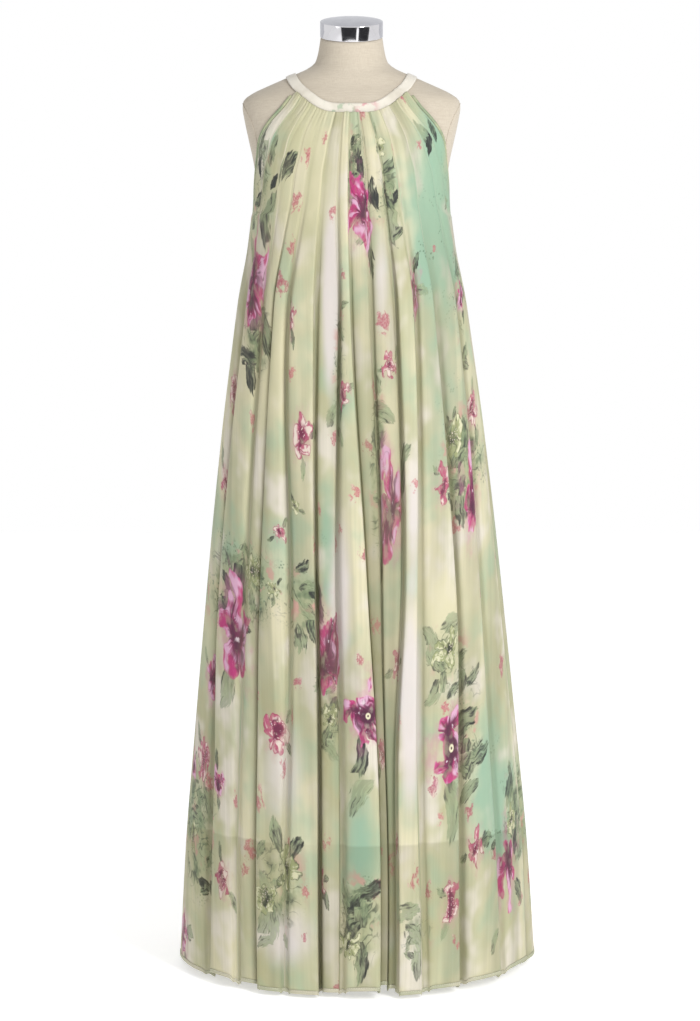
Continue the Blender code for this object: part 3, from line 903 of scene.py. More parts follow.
# %% Motifs on the cloth
chance = np.random.default_rng(11)
MOTIF_REACH = 1.3  # in radii
SEED_STEP = 3.7  # between one motif's seed and the next one's
FLORET_PITCH, FLORET_SHARE, FLORET_GAP = 0.09, 0.35, 0.04
LEAF_SQUEEZE, CLUSTER_SQUEEZE = 0.7, 0.75
LEAVES_IN_CLUSTER = 7


def as_it_shows(points, behind):
    """Across and up, where the line of sight of each point crosses the dress's middle
    plane. The back is seen from behind, at the same distance."""
    eye = np.array(CAMERA_PLACE)
    points = points * (-1, -1, 1) if behind else points
    reach = eye[1] / (eye[1] - points[..., 1])
    return np.stack([eye[k] + (points[..., k] - eye[k]) * reach for k in (0, 2)], -1)


def mirrored(rows, behind):
    """Rows of a table, with the first column turned round for the back."""
    return [(-row[0], *row[1:]) for row in rows] if behind else list(rows)


def find_on_cloth(points, chart, spots, behind):
    """The flat place of the front-most cloth at each spot, given in mm."""
    shown = as_it_shows(points, behind).reshape(-1, 2)
    forward = points[..., 1].ravel() * (-1 if behind else 1)
    spots = np.array([row[:2] for row in spots], float) * MM
    gap = np.linalg.norm(shown[None] - spots[:, None], axis=-1) + 0.15 * forward
    return chart.reshape(-1, 2)[gap.argmin(1)]


def scatter(chart, pitch):
    """Places on a jittered grid over the flat cloth."""
    low, high = chart.reshape(-1, 2).min(0), chart.reshape(-1, 2).max(0)
    across, down = np.meshgrid(*(np.arange(a, b, pitch) for a, b in zip(low, high)))
    places = np.stack([across + (np.arange(len(down)) % 2)[:, None] * pitch / 2, down], -1)
    return places.reshape(-1, 2) + chance.uniform(-0.3, 0.3, (across.size, 2)) * pitch


def apart(places, others, gap):
    """Those places that are at least a gap from all the others."""
    distance = np.linalg.norm(places[:, None] - others[None], axis=-1)
    return places[distance.min(1) > gap]


def motif_layer(piece, name, chart, motifs):
    """Each face's corners get their place in the nearest motif, in radii, then its seed
    and kind. motifs are rows of across, down, radius, squeeze, turn and kind. It says
    which faces a motif reaches."""
    faces = grid_faces(*chart.shape[:2])
    flat = chart.reshape(-1, 2)[faces]
    reach = np.column_stack([motifs[:, 2] * motifs[:, 3], motifs[:, 2]])
    gap = (flat.mean(1)[:, None] - motifs[None, :, :2]) / reach
    gap = np.linalg.norm(gap, axis=-1)
    mine = gap.argmin(1)
    centre, _, _, turn, kind = np.split(motifs[mine], (2, 3, 4, 5), 1)
    across, up = np.moveaxis((flat - centre[:, None]) / reach[mine][:, None] * (1, -1), -1, 0)
    cosine, sine = np.cos(turn), np.sin(turn)
    along, aside = across * cosine + up * sine, up * cosine - across * sine
    seed = np.broadcast_to(mine[:, None] * SEED_STEP, along.shape)
    kind = np.broadcast_to(kind, along.shape)
    put_attribute(piece, name, np.stack([along, aside, seed, kind], -1), "CORNER")
    return np.hypot(along, aside).min(1) < MOTIF_REACH


def print_plan(points, chart, behind):
    """The motifs of a panel: blooms, leaves and florets, each a row of across, down,
    radius, squeeze, turn and kind. The tables place the larger ones, on the back mirrored;
    leaves also grow beside blooms and in the foliage, and florets are strewn between."""
    rows = [(*row, MAGENTA) for row in MAGENTA_BLOOMS]
    rows += [(*row, MAGENTA_WITH_EYE) for row in EYED_BLOOMS]
    rows += [(*row, DUSTY) for row in DUSTY_BLOOMS]
    rows += [(*row, GREEN) for row in GREEN_BLOOMS]
    rows = mirrored(rows, behind)
    size, squeeze, kind = np.array(rows)[:, 2:].T
    place = find_on_cloth(points, chart, rows, behind)
    turn = chance.uniform(-math.pi, math.pi, len(rows))
    blooms = np.column_stack([place, size * MM, squeeze, turn, kind])

    _, _, length, turn, dark = np.array(LEAVES, float).T
    place = find_on_cloth(points, chart, mirrored(LEAVES, behind), behind)
    rows = [place, length * MM, LEAF_SQUEEZE + 0 * dark, np.radians(turn), dark]
    leaves = [np.column_stack(rows)]
    for around in (1.5, 4.6):
        angle = around + chance.uniform(-1.4, 1.4, len(blooms))
        length = blooms[:, 2] * chance.uniform(0.4, 0.8, len(blooms))
        out = (blooms[:, 2] * 0.75 + length * 0.6)[:, None]
        step = out * np.column_stack([np.cos(angle) * blooms[:, 3], -np.sin(angle)])
        dark = chance.uniform(0.3, 1, len(blooms))
        rows = [blooms[:, :2] + step, length, blooms[:, 3], angle, dark]
        leaves.append(np.column_stack(rows))
    middle = find_on_cloth(points, chart, mirrored(FOLIAGE_WASHES, behind), behind)
    wide, high, strength = np.array(FOLIAGE_WASHES, float)[:, 2:].T
    for _ in range(LEAVES_IN_CLUSTER):
        step = np.column_stack([wide, high]) * MM * chance.uniform(-1, 1, (len(wide), 2))
        length, turn = chance.uniform(16, 44, len(wide)) * MM, chance.uniform(0, 6.2, len(wide))
        dark = strength * chance.uniform(0.4, 1.3, len(wide))
        rows = [middle + step, length, CLUSTER_SQUEEZE + 0 * wide, turn, dark]
        leaves.append(np.column_stack(rows))

    florets = find_on_cloth(points, chart, mirrored(FLORETS, behind), behind)
    more = apart(scatter(chart, FLORET_PITCH), blooms[:, :2], FLORET_GAP)
    florets = np.vstack([florets, more[chance.random(len(more)) < FLORET_SHARE]])
    count = len(florets)
    radius, turn = chance.uniform(11, 24, count) * MM, chance.uniform(0, 6, count)
    squeeze = chance.uniform(0.45, 0.8, count)
    florets = np.column_stack([florets, radius, squeeze, turn, chance.random(count)])
    return blooms, np.vstack(leaves), florets


def washes(points, out, behind):
    """How much teal, lilac and foliage lies at each point, e^-(x^2 + z^2) of each of its washes
    added up; then how deep it lies in a valley, from 0 to 1, which the chiffon's finish uses as
    painted shade."""
    shown = as_it_shows(points, behind) * (-1 if behind else 1, 1)
    amounts = []
    for table in (TEAL_WASHES, LILAC_WASHES, FOLIAGE_WASHES):
        total = 0
        for across, up, half_width, half_height, strength in table:
            x = (shown[..., 0] / MM - across) / half_width
            z = (shown[..., 1] / MM - up) / half_height
            total = total + strength * np.exp(-x * x - z * z)
        amounts.append(np.clip(total, -1, 1))
    # The valley's depth, faded out between 1.02 and 1.32 m up, is painted shade in the chiffon's
    # colour.
    fall = np.clip(1.32 - points[..., 2], 0, 1)
    crest = (6 + 18 * smooth_step(fall / 1.1)) * MM
    valley = smooth_step(1 - out / crest) * smooth_step(fall / 0.3)
    return np.stack(amounts + [valley], -1)


# %% [markdown]
# ## The printed chiffon
#
# Chiffon is a sheer crepe weave. Some light passes straight between its threads, some is scattered
# through to the other side, and the rest comes back. So its finish mixes a see-through surface with
# a translucent one. The print sits in the colour alone, and so does a painted shade that darkens
# the valleys of the folds.


# %% The printed chiffon's finish
def shade(red, green, blue):
    """A colour seen on a screen, as the linear light that a shader wants."""
    value = np.array([red, green, blue]) / 255
    return tuple(np.where(value < 0.04045, value / 12.92, ((value + 0.055) / 1.055) ** 2.4))


def three_ways(g, kind, magenta, dusty, green):
    """The colour that belongs to a bloom's kind."""
    first = g.mix(g.ramp(kind, 0.4, 0.6), magenta, dusty)
    return g.mix(g.ramp(kind, 1.4, 1.6), first, green)


def polar(g, local):
    """Across, up, distance, turn in revolutions, and the direction as a vector."""
    u, v, seed = local.axes()
    distance = (u * u + v * v).math("SQRT")
    turn = v.math("ARCTAN2", u) / (2 * math.pi)
    ray = g.node("ShaderNodeCombineXYZ", {}, u / distance, v / distance, seed)
    return distance, turn, ray


def draw_blooms(g, ground):
    """Five loose petals: the rim lies at a + b |sin(5 pi t)|^c of the radius, plus a noise
    of the direction, on a bent plane. Petals are stained plum from the centre outwards in
    streaks, paler in patches, darker at places on the rim, and parted by thin lines."""
    local = g.attribute("bloom")
    kind = local.part("Alpha")
    outlined = g.ramp(kind, 0.4, 0.6)
    bend = g.noise(local, 1.1, 2).part("Color")
    bend = g.stretch(bend, (1.7, 1.7, 0), (-0.85, -0.85, 0))
    place = g.node("ShaderNodeVectorMath", {"operation": "ADD"}, local, bend)
    distance, turn, ray = polar(g, place)
    fine = g.noise(local, 5.0, 3, 0.6) - 0.5
    longer = g.noise(ray, 0.9, 1) - 0.5
    wave = ((turn * 5) * math.pi).math("SINE").math("ABSOLUTE")
    rim = wave**0.6 * 0.42 + 0.42 + longer * 1.1 + fine * 0.22
    depth = rim - distance
    inside = g.ramp(depth, 0, 0.06)
    near_rim = g.ramp(depth, 0.14, 0.03)
    parting = g.ramp(wave * distance, 0.11, 0.02) * g.ramp(distance, 0.12, 0.3)
    streaks = g.noise(ray, 3.2, 3, 0.65)
    patches = g.noise(local, 1.9, 2)
    pale = three_ways(g, kind, shade(226, 178, 206), shade(232, 216, 204), shade(222, 220, 184))
    body = three_ways(g, kind, shade(192, 54, 122), shade(188, 92, 122), shade(160, 166, 118))
    edge = three_ways(g, kind, shade(206, 84, 146), shade(164, 52, 96), shade(74, 88, 66))
    deep = three_ways(g, kind, shade(82, 32, 62), shade(112, 38, 70), shade(48, 54, 46))
    light = g.ramp(streaks * 0.6 + patches, 0.76, 0.88)
    petal = g.mix(light * g.ramp(distance, 0.2, 0.45), body, pale)
    stained = g.ramp(distance + (streaks - 0.5) * 1.6 + outlined * 0.2, 0.62, 0.2)
    petal = g.mix(stained * 0.85, petal, deep)
    petal = g.mix(near_rim * g.ramp(fine + outlined * 0.14, -0.06, 0.12), petal, edge)
    petal = g.mix(parting * g.ramp(fine, -0.12, 0.06) * 0.7, petal, deep)
    glint = g.ramp(fine, 0.13, 0.2) * g.ramp(distance, 0.7, 0.4)
    petal = g.mix(glint * 0.7, petal, shade(244, 232, 236))
    petal = g.mix(g.ramp(distance + fine * 0.4, 0.26, 0.08) * 0.85, petal, deep)
    middle = polar(g, local)[0]
    eyed = g.ramp(kind, -0.4, -0.6)
    petal = g.mix(eyed * g.ramp(middle, 0.3, 0.18) * 0.85, petal, deep)
    petal = g.mix(eyed * g.ramp(middle, 0.1, 0.07), petal, shade(236, 230, 196))
    petal = g.mix(eyed * g.ramp(middle, 0.04, 0.02), petal, deep)
    dots = g.node("ShaderNodeTexVoronoi", {}, Vector=local, Scale=9)
    stamens = g.ramp(dots, 0.32, 0.2) * g.ramp(distance, 0.42, 0.3) * outlined
    petal = g.mix(stamens * g.ramp(distance, 0.06, 0.1), petal, shade(232, 214, 200))
    stain = g.ramp(distance + fine, 1.25, 0.55) * g.ramp(patches, 0.4, 0.6)
    ground = g.mix(stain * (1 - inside) * 0.45, ground, g.mix(0.4, body, pale))
    thin = g.ramp(patches + fine, 0.28, 0.5) * 0.35 + 0.65
    return g.mix(inside * thin, ground, petal)


def draw_leaves(g, ground):
    """Half width = a (1 - u^2), its edge broken by brush strokes that run along it. Ink
    gathers at the foot and in some strokes, the more the darker the leaf is."""
    local = g.attribute("leaf")
    dark = local.part("Alpha")
    u, v, seed = local.axes()
    wobble = g.noise(local, 1.5, 2) - 0.5
    bent = v + u * u * 0.15 + wobble * 0.5
    stroke_place = g.node("ShaderNodeCombineXYZ", {}, u * 0.7, bent * 4.5, seed)
    strokes = g.noise(stroke_place, 1.8, 3, 0.65) - 0.5
    aside = bent.math("ABSOLUTE")
    width = (1 - u * u) * 0.42 + strokes * 0.55 + wobble * 0.3
    inside = g.ramp(width - aside, 0, 0.07) * g.ramp(u.math("ABSOLUTE"), 1.05, 0.85)
    rim = g.ramp(width - aside, 0.1, 0.03)
    vein = g.ramp(aside, 0.06, 0.015)
    leaf = g.mix(g.ramp(strokes, -0.12, 0.1), shade(104, 124, 92), shade(166, 180, 140))
    ink = (dark * 0.3 + strokes) + (wobble - u * 0.2) * 0.5
    leaf = g.mix(g.ramp(ink, 0.14, 0.3), leaf, shade(42, 46, 46))
    lines = (rim * 0.5 + vein * 0.5) * g.ramp(strokes + wobble * 0.4, -0.1, 0.08)
    leaf = g.mix(lines, leaf, shade(56, 68, 56))
    cover = inside * (dark * 0.35 + 0.5 + strokes * 1.5)
    return g.mix(cover, ground, leaf)


def draw_florets(g, ground):
    """Small loose dabs of rose and raspberry: where a noise less the distance is high."""
    local = g.attribute("floret")
    blot = g.noise(local, 1.4, 3, 0.6) - 0.5
    u, v, _ = local.axes()
    distance = (u * u + v * v).math("SQRT")
    mass = blot * 3.4 - distance * 0.9
    fine = g.noise(local, 7.0, 2)
    inside = g.ramp(mass, -0.66, -0.36)
    rose = g.mix(local.part("Alpha"), shade(202, 98, 116), shade(176, 54, 100))
    rose = g.mix(g.ramp(blot, 0.08, 0.2), rose, shade(226, 192, 184))
    rose = g.mix(g.ramp(fine, 0.6, 0.7) * 0.7, rose, shade(128, 56, 76))
    return g.mix(inside * (g.ramp(fine, 0.35, 0.6) * 0.4 + 0.45), ground, rose)


CREAMS = shade(222, 215, 180), shade(203, 199, 161)
SEE_THROUGH = 0.32  # share of the light that passes straight between the threads
THROUGH_CHIFFON = 0.22  # share that is scattered through
LINING_EDGE = 3 * MM, -2 * MM  # from the lining's hem: it turns sheer between these
LEAST_SHEER_BELOW = 0.06


def draw_ground(g, cloth, teal, lilac, foliage):
    """Cream, khaki and mint clouds, stretched down the thread, under the washes. Ink lines
    follow a level of a noise; splashes are the middles of a Voronoi pattern's cells."""
    cloud = g.noise(g.stretch(cloth, (8, 3.2, 1)), 1.0, 3, 0.6)
    patch = g.noise(g.stretch(cloth, (9, 6, 1), (3, 8, 0)), 1.0, 3, 0.65)
    thread = g.noise(g.stretch(cloth, (240, 4, 1)), 1.0, 1)
    shadow = g.noise(g.stretch(cloth, (24, 0.9, 1), (7, 2, 0)), 1.0, 1)
    ground = g.mix(g.ramp(cloud, 0.38, 0.58), shade(226, 219, 186), shade(199, 198, 163))
    ground = g.mix(g.ramp(cloud, 0.54, 0.68) * 0.45, ground, shade(180, 172, 124))
    ground = g.mix(g.ramp(patch, 0.49, 0.66) * 0.6, ground, shade(166, 194, 164))
    ground = g.mix(g.ramp(patch, 0.49, 0.35) * 0.85, ground, shade(234, 226, 214))
    ground = g.mix(g.ramp(thread, 0.35, 0.65) * 0.12, ground, shade(150, 150, 120))
    ground = g.mix(g.ramp(shadow, 0.46, 0.62) * 0.32, ground, shade(136, 132, 104))
    cream = g.ramp(teal, -0.1, -0.8) * 0.8
    ground = g.mix(cream, ground, g.mix(g.ramp(cloud, 0.4, 0.6), *CREAMS))
    teal = teal * (patch * 3.4 - 0.75)
    ground = g.mix(g.ramp(teal, 0.1, 0.8) * 0.85, ground, shade(150, 187, 162))
    pale = g.ramp(lilac * (patch * 1.5 + 0.3), 0.2, 0.8)
    ground = g.mix(pale * 0.85, ground, shade(230, 221, 220))
    murk = g.ramp(foliage * (patch + 0.45), 0.2, 0.7)
    blot = g.noise(g.stretch(cloth, (26, 20, 1), (1, 5, 0)), 1.0, 3, 0.65)
    ground = g.mix(murk * 0.55, ground, shade(168, 174, 132))
    ground = g.mix(g.ramp(blot, 0.50, 0.60) * murk * 0.8, ground, shade(112, 130, 98))
    ground = g.mix(g.ramp(blot, 0.60, 0.68) * murk * 0.85, ground, shade(52, 58, 52))
    ground = g.mix(g.ramp(blot, 0.44, 0.34) * murk * 0.7, ground, shade(222, 200, 176))
    rosy = g.ramp(blot, 0.47, 0.38) * g.ramp(patch, 0.5, 0.56) * g.ramp(foliage, 0.1, 0.4)
    ground = g.mix(rosy * 0.6, ground, shade(206, 140, 138))
    line = (g.noise(cloth, 19.0, 3, 0.6, 0.8) - 0.5).math("ABSOLUTE")
    inked = g.ramp(line, 0.02, 0.006) * g.ramp(foliage, 0.15, 0.45)
    inked = inked * g.ramp(blot, 0.42, 0.52)
    ground = g.mix(inked * 0.7, ground, shade(62, 74, 62))
    dots = g.node("ShaderNodeTexVoronoi", {}, Vector=cloth, Scale=170)
    splash = g.ramp(dots, 0.34, 0.2) * g.ramp(g.noise(cloth, 15.0), 0.54, 0.62)
    return g.mix(splash * g.ramp(foliage + teal * 0.5, 0.1, 0.5) * 0.75, ground, shade(86, 116, 96))


def chiffon_finish(name, motifs):
    """Sheer only below the lining's hem: above it, the lining lies close behind. The colour holds
    the print and a painted shade in the valleys of the folds.
    """
    g = Graph(name)
    cloth, amounts = g.uv("cloth"), g.attribute("washes_and_valley_shade")
    colour = draw_ground(g, cloth, *amounts.axes())
    for draw in motifs:
        colour = draw(g, colour)
    # Painted shade: the colour is mixed towards dark olive by the valley's depth, for the shadow
    # deep in the folds.
    valley = amounts.part("Alpha")
    colour = g.mix(valley * 0.55, colour, shade(126, 122, 88))
    crepe = g.noise(g.stretch(cloth, (900, 900, 1)), 1.0, 1)
    crinkle = g.noise(g.stretch(cloth, (70, 5, 1)), 1.0, 2)
    bump = g.bump(crepe * 0.12 + crinkle, 0.35, 0.8 * MM)
    height = g.position().axes()[2]
    below_lining = g.ramp(height, *(LINING_HEM + edge for edge in LINING_EDGE))
    below_lining = below_lining * (g.ramp(height, LEAST_SHEER_BELOW, LINING_HEM) * 0.6 + 0.4)
    layers = g.noise(g.stretch(cloth, (4.5, 0.8, 1), (9, 4, 0)), 1.0, 1)
    below_lining = below_lining * (g.ramp(layers, 0.42, 0.56) * 0.75 + 0.25)
    words = {"Base_Color": colour, "Roughness": 0.7, "Normal": bump}
    words |= {"Alpha": 1 - below_lining * SEE_THROUGH}
    words |= {"Sheen_Weight": 0.1, "Sheen_Roughness": 0.5}
    return g.cloth(g.principled(**words), THROUGH_CHIFFON, shade(206, 204, 168))


# Two materials, because the shader is quicker where no motif has to be worked out.
plain_chiffon = chiffon_finish("plain_chiffon", ())
printed_chiffon = chiffon_finish("printed_chiffon", (draw_florets, draw_leaves, draw_blooms))
print("chiffon's nodes:", len(printed_chiffon.node_tree.nodes))

# %% [markdown]
# ## Front and back
#
# Each panel is one sheet of chiffon. The size that it was cut to is worked out and printed: as wide
# as its hem, as long as its middle, and with the area of its tapered shape. The hem is turned twice
# and sewn, so a narrow doubled strip runs along it.


# %% The panels and their turned hems
HEM_TURN, HEM_FOLD = 6 * MM, 0.3 * MM
GROUND_JUMP = 0.23  # metres of cloth that each valley hides from the print's ground


def flat_size(width, height):
    """The cut's hem width, its length, and the area of the tapered shape between."""
    area = float(np.trapz(width[::-1], height[::-1]))
    return (float(width[-1]), float(height[0] - height[-1])), area


def build_panel(name, node, points, chart, folds, behind):
    """A panel's sheet with its print, and the doubled strip of its turned hem."""
    words = {"material": plain_chiffon, "slot": "print_chiffon"}
    piece = sheet_piece(name, points, replaces=(node,), **words)
    piece.data.materials.append(printed_chiffon)
    number, through, _ = fold_columns(folds)
    out = fold_shape(folds, number, through, points[..., 2])[1]
    ground = chart + np.stack([number * GROUND_JUMP, 0 * number], -1)
    put_uv(piece, "cloth", ground.reshape(-1, 2)[grid_faces(*points.shape[:2])])
    # The fourth number of this attribute is the valley depth, which the chiffon's finish paints as
    # shade.
    put_attribute(piece, "washes_and_valley_shade", washes(points, out, behind))
    layers = zip(("bloom", "leaf", "floret"), print_plan(points, chart, behind))
    covered = [motif_layer(piece, layer, chart, motifs) for layer, motifs in layers]
    covered = np.any(covered, axis=0).astype(np.int32)
    piece.data.polygons.foreach_set("material_index", covered)
    thicken(piece, CLOTH_WALL)
    rows = np.linspace(HEM_TURN, -HEM_FOLD, 4)
    strip = dress_panel(folds, behind, rows, CLOTH_WALL + HEM_GAP)
    hem = sheet_piece(name + "_hem", strip, material=hem_cloth, slot="print_chiffon")
    thicken(hem, CLOTH_WALL)
    flat, area = flat_size(cut_width(points), points[:, points.shape[1] // 2, 2])
    words = {"held": "gathered", "rests_on": ["neckband_satin"], "with_pieces": [hem]}
    print(name, "cut", np.round(flat, 3), "m, area", round(area, 3))
    return piece


def hem_finish():
    """Two more layers of the same cloth: paler and less sheer, with a faint print."""
    g = Graph("turned_hem")
    place = g.position()
    cloud = g.noise(g.stretch(place, (9, 9, 3)), 1.0, 3)
    colour = g.mix(g.ramp(cloud, 0.4, 0.6), shade(204, 199, 176), shade(182, 184, 156))
    thread = g.noise(g.stretch(place, (900, 900, 900)), 1.0, 2)
    bump = g.bump(thread, 0.3, 0.2 * MM)
    return g.finish(g.principled(Base_Color=colour, Roughness=0.75, Alpha=0.75, Normal=bump))


hem_cloth = hem_finish()
build_panel("front_chiffon", "dress_front", front_points, front_chart, FRONT_FOLDS, False)
build_panel("back_chiffon", "dress_back", back_points, back_chart, BACK_FOLDS, True)

# %% [markdown]
# ## The lining
#
# Under the chiffon hangs a plain cream lining that ends a quarter of a metre above the
# floor. It makes the print read bright above that line and greyer below it. It is the
# dress's own shape without the folds, with a few soft flutes.

# %% The lining
LINING_BELOW_BAND, LINING_INSET, LINING_FLUTE_DEPTH = 1.2 * MM, 7 * MM, 3 * MM
LINING_FLUTES, LINING_COLUMNS, LINING_YOKE_ROWS, LINING_ROWS = 6, 96, 24, 90
LINING_HEM_TURN = 12 * MM
THROUGH_LINING = 0.2


def lining_points(behind, rows=None, lift=0.0):
    """Points of a lining: out - fallen * (inset + depth * cos(pi n share)). rows are
    distances above its hem, for a strip along it."""
    share = np.linspace(-1, 1, LINING_COLUMNS + 1)
    top = neck_height(share, BAND_WIDTH / 2 + LINING_BELOW_BAND, behind)
    if rows is None:
        yoke = np.linspace(0, 1, LINING_YOKE_ROWS, endpoint=False)[:, None]
        skirt = np.linspace(0, 1, LINING_ROWS)[:, None]
        ends = top + (UNDERARM - top) * yoke, UNDERARM + (LINING_HEM - UNDERARM) * skirt
        height = np.vstack([np.broadcast_to(end, (len(end), len(share))) for end in ends])
    else:
        height = LINING_HEM + np.array(rows)[:, None] + 0 * share
    angle = panel_angle(share, height, behind)
    fallen = np.clip(1 - (height - LINING_HEM) / (UNDERARM - LINING_HEM), 0, 1)
    flutes = np.cos(math.pi * share * LINING_FLUTES)
    out = LINING_OUT - fallen * (LINING_INSET + LINING_FLUTE_DEPTH * flutes)
    return cloth_point(angle, height, out + lift)


def lining_finish():
    """A plain cream weave in soft clouds of two creams."""
    g = Graph("lining_cloth")
    place = g.position()
    cloud = g.noise(place, 9.0, 3)
    colour = g.mix(g.ramp(cloud, 0.35, 0.65), shade(236, 232, 208), shade(228, 226, 200))
    weave = g.noise(g.stretch(place, (1400, 1400, 500)), 1.0, 2)
    bump = g.bump(weave, 0.3, 0.2 * MM)
    cloth = g.principled(Base_Color=colour, Roughness=0.6, Sheen_Weight=0.2, Normal=bump)
    return g.cloth(cloth, THROUGH_LINING, shade(222, 218, 190))


lining_cloth = lining_finish()
for side, behind in (("front", False), ("back", True)):
    points = lining_points(behind)
    words = {"material": lining_cloth, "slot": "lining"}
    piece = sheet_piece(f"lining_{side}_cloth", points, replaces=("lining_" + side,), **words)
    thicken(piece, CLOTH_WALL)
    strip = lining_points(behind, np.linspace(LINING_HEM_TURN, 0, 3), -CLOTH_WALL - HEM_GAP)
    hem = sheet_piece(f"lining_{side}_hem", strip, **words)
    thicken(hem, CLOTH_WALL)
    flat, area = flat_size(arc_lengths(points, 1)[:, -1], points[:, LINING_COLUMNS // 2, 2])
    words = {"held": "hung", "rests_on": ["neckband_satin"], "with_pieces": [hem]}
    print(piece.name, "cut", np.round(flat, 3), "m, area", round(area, 3))

# %% [markdown]
# ## Neckband and armhole bindings
#
# The band is a folded strip of off-white satin with a soft roll, so its surface bulges a
# little between its two edges. The armholes are bound with a narrow strip of the print.


# %% The neckband and the bindings
BAND_RISE = 2 * MM  # the band's upper edge stands this much higher
BAND_OUT, BAND_ROLL, BAND_PULL, BINDING_ROLL = 1.3 * MM, 0.5 * MM, 0.25 * MM, 0.7 * MM


def neckband_points(count=320, across=9):
    """The band's outer face, with its roll and the small pulls of the gathers below."""
    turn = np.linspace(0, 2 * math.pi, count, endpoint=False)[None, :]
    below = np.linspace(-BAND_WIDTH / 2, BAND_WIDTH / 2, across)[:, None]
    turn, below = np.broadcast_arrays(turn, below)
    angle, height = neckline(turn, below - (0.5 - below / BAND_WIDTH) * BAND_RISE)
    point = section_point(angle, height, FORM_SECTIONS)
    roll = np.sqrt(np.clip(1 - (2 * below / BAND_WIDTH) ** 4, 0, 1)) * BAND_ROLL
    pull = BAND_PULL * np.sin(61 * turn + 3 * np.sin(7 * turn)) * (below / BAND_WIDTH + 0.5)
    lift = BAND_OUT + roll + pull * np.sin(math.pi * (below / BAND_WIDTH + 0.5))
    return point + outward(angle, height, FORM_SECTIONS) * lift[..., None]


def binding_half(behind):
    """Angle and height of the bound edge, beside the panel's edge, down to the side."""
    top = neck_height(1, BAND_WIDTH / 2 + SEAM_GAP, behind)
    share = np.concatenate([[BINDING_START], np.linspace(0.05, 1, 40)])
    height = top + (UNDERARM - top) * share
    angle = armhole_angle(height, behind)
    along, down = np.gradient(angle * BINDING_RADIUS), np.gradient(height)
    down[-1] = 0
    length = np.hypot(along, down)
    across = np.linspace(SEAM_GAP + BINDING_WIDTH, SEAM_GAP, 5)[:, None]
    angle = angle - across * down / length / BINDING_RADIUS
    height = height + across * along / length
    return (math.pi - angle if behind else angle), height


def binding_points(side):
    """A bound armhole edge: the front half and the back half meet under the arm."""
    front, back = binding_half(False), binding_half(True)
    angle, height = (np.hstack([f[:, :-1], b[:, ::-1]]) for f, b in zip(front, back))
    angle, height = angle[::-1], height[::-1]
    across = np.linspace(0, 1, len(angle))[:, None]
    roll = np.sin(math.pi * across) * BINDING_ROLL + 0 * angle
    point = cloth_point(angle, height, DRESS_OUT + roll)
    if side < 0:
        point[..., 0] *= -1
    return point[:, ::side]


def satin_finish():
    """Off-white satin, tinted green and rose near its middle by the ends of the print."""
    g = Graph("neckband_satin")
    place = g.position()
    x, _, z = place.axes()
    sheen = g.noise(g.stretch(place, (30, 30, 30)), 1.0, 2)
    colour = g.mix(g.ramp(sheen, 0.35, 0.65), shade(222, 216, 203), shade(208, 201, 186))
    near_front = g.ramp(x.math("ABSOLUTE"), 0.05, 0.03) * g.ramp(z, 1.456, 1.446)
    blot = g.noise(g.stretch(place, (1, 1, 1), (0.3, 0, 0)), 75.0, 3)
    tint = g.mix(g.ramp(x, 0.0, 0.012), shade(150, 172, 142), shade(206, 128, 140))
    colour = g.mix(g.ramp(blot, 0.52, 0.64) * near_front * 0.7, colour, tint)
    thread = g.noise(g.stretch(place, (300, 300, 2600)), 1.0, 2)
    bump = g.bump(thread + sheen, 0.2, 0.3 * MM)
    words = {"Base_Color": colour, "Roughness": thread * 0.1 + 0.33, "Normal": bump}
    return g.finish(g.principled(Sheen_Weight=0.2, **words))


def bound_edge_finish():
    """The print cut on the bias, so small that it shows as broken colour."""
    g = Graph("bound_edge")
    place = g.position()
    cloud = g.noise(place, 22.0, 3)
    colour = g.mix(g.ramp(cloud, 0.4, 0.6), shade(182, 180, 144), shade(136, 150, 120))
    blot = g.noise(g.stretch(place, (1, 1, 1), (3, 1, 0)), 30.0, 2)
    colour = g.mix(g.ramp(blot, 0.6, 0.68), colour, shade(84, 104, 86))
    thread = g.noise(g.stretch(place, (900, 900, 900)), 1.0, 2)
    bump = g.bump(thread, 0.3, 0.2 * MM)
    return g.finish(g.principled(Base_Color=colour, Roughness=0.7, Normal=bump))


SIDES = ((1, "left"), (-1, "right"))
points = neckband_points()
words = {"material": satin_finish(), "slot": "neckband_satin", "replaces": ("neckband",)}
band = sheet_piece("neckband_satin", points, closed=True, **words)
thicken(band, BAND_WALL)
band_length = float(arc_lengths(points, 1)[len(points) // 2, -1])
flat = (band_length, BAND_WIDTH)
bound_edge = bound_edge_finish()
for side, word in SIDES:
    points = binding_points(side)
    words = {"material": bound_edge, "slot": "print_chiffon"}
    words["replaces"] = ("armhole_binding_" + word,)
    piece = sheet_piece("armhole_edge_" + word, points, **words)
    thicken(piece, CLOTH_WALL)
    length = float(arc_lengths(points, 1)[len(points) // 2, -1])
    # The strip is folded over the edge: the area is that of its outer half, which shows.
    area = length * BINDING_WIDTH
    words = {"held": "stretched", "rests_on": ["front_chiffon", "back_chiffon"]}
print("band", round(band_length, 3), "m round; each armhole edge", round(length, 3), "m")

# %% [markdown]
# ## The dress form
#
# The torso is covered in beige linen, a plain weave with slubs. Where an arm would start
# there is a flat plate with a piped seam round it. On the neck sits a chrome cap.


# %% The torso
PLATE_MIDDLE, PLATE_HALF_HEIGHT, PLATE_HALF_ANGLE = 1.385, 0.062, math.radians(30)
PIPING_SIDES, PIPING_RADIUS, PIPING_OUT = 8, 0.8 * MM, 0.2 * MM


def torso_points(rings=150, sides=160):
    """The dress form's rings, from its neck down."""
    low, high = FORM_SECTIONS[0][0] * MM, FORM_SECTIONS[-1][0] * MM
    height = np.linspace(high, low, rings)[:, None]
    angle = np.linspace(0, 2 * math.pi, sides, endpoint=False)[None, :]
    angle, height = np.broadcast_arrays(angle, height)
    return section_point(angle, height, FORM_SECTIONS)


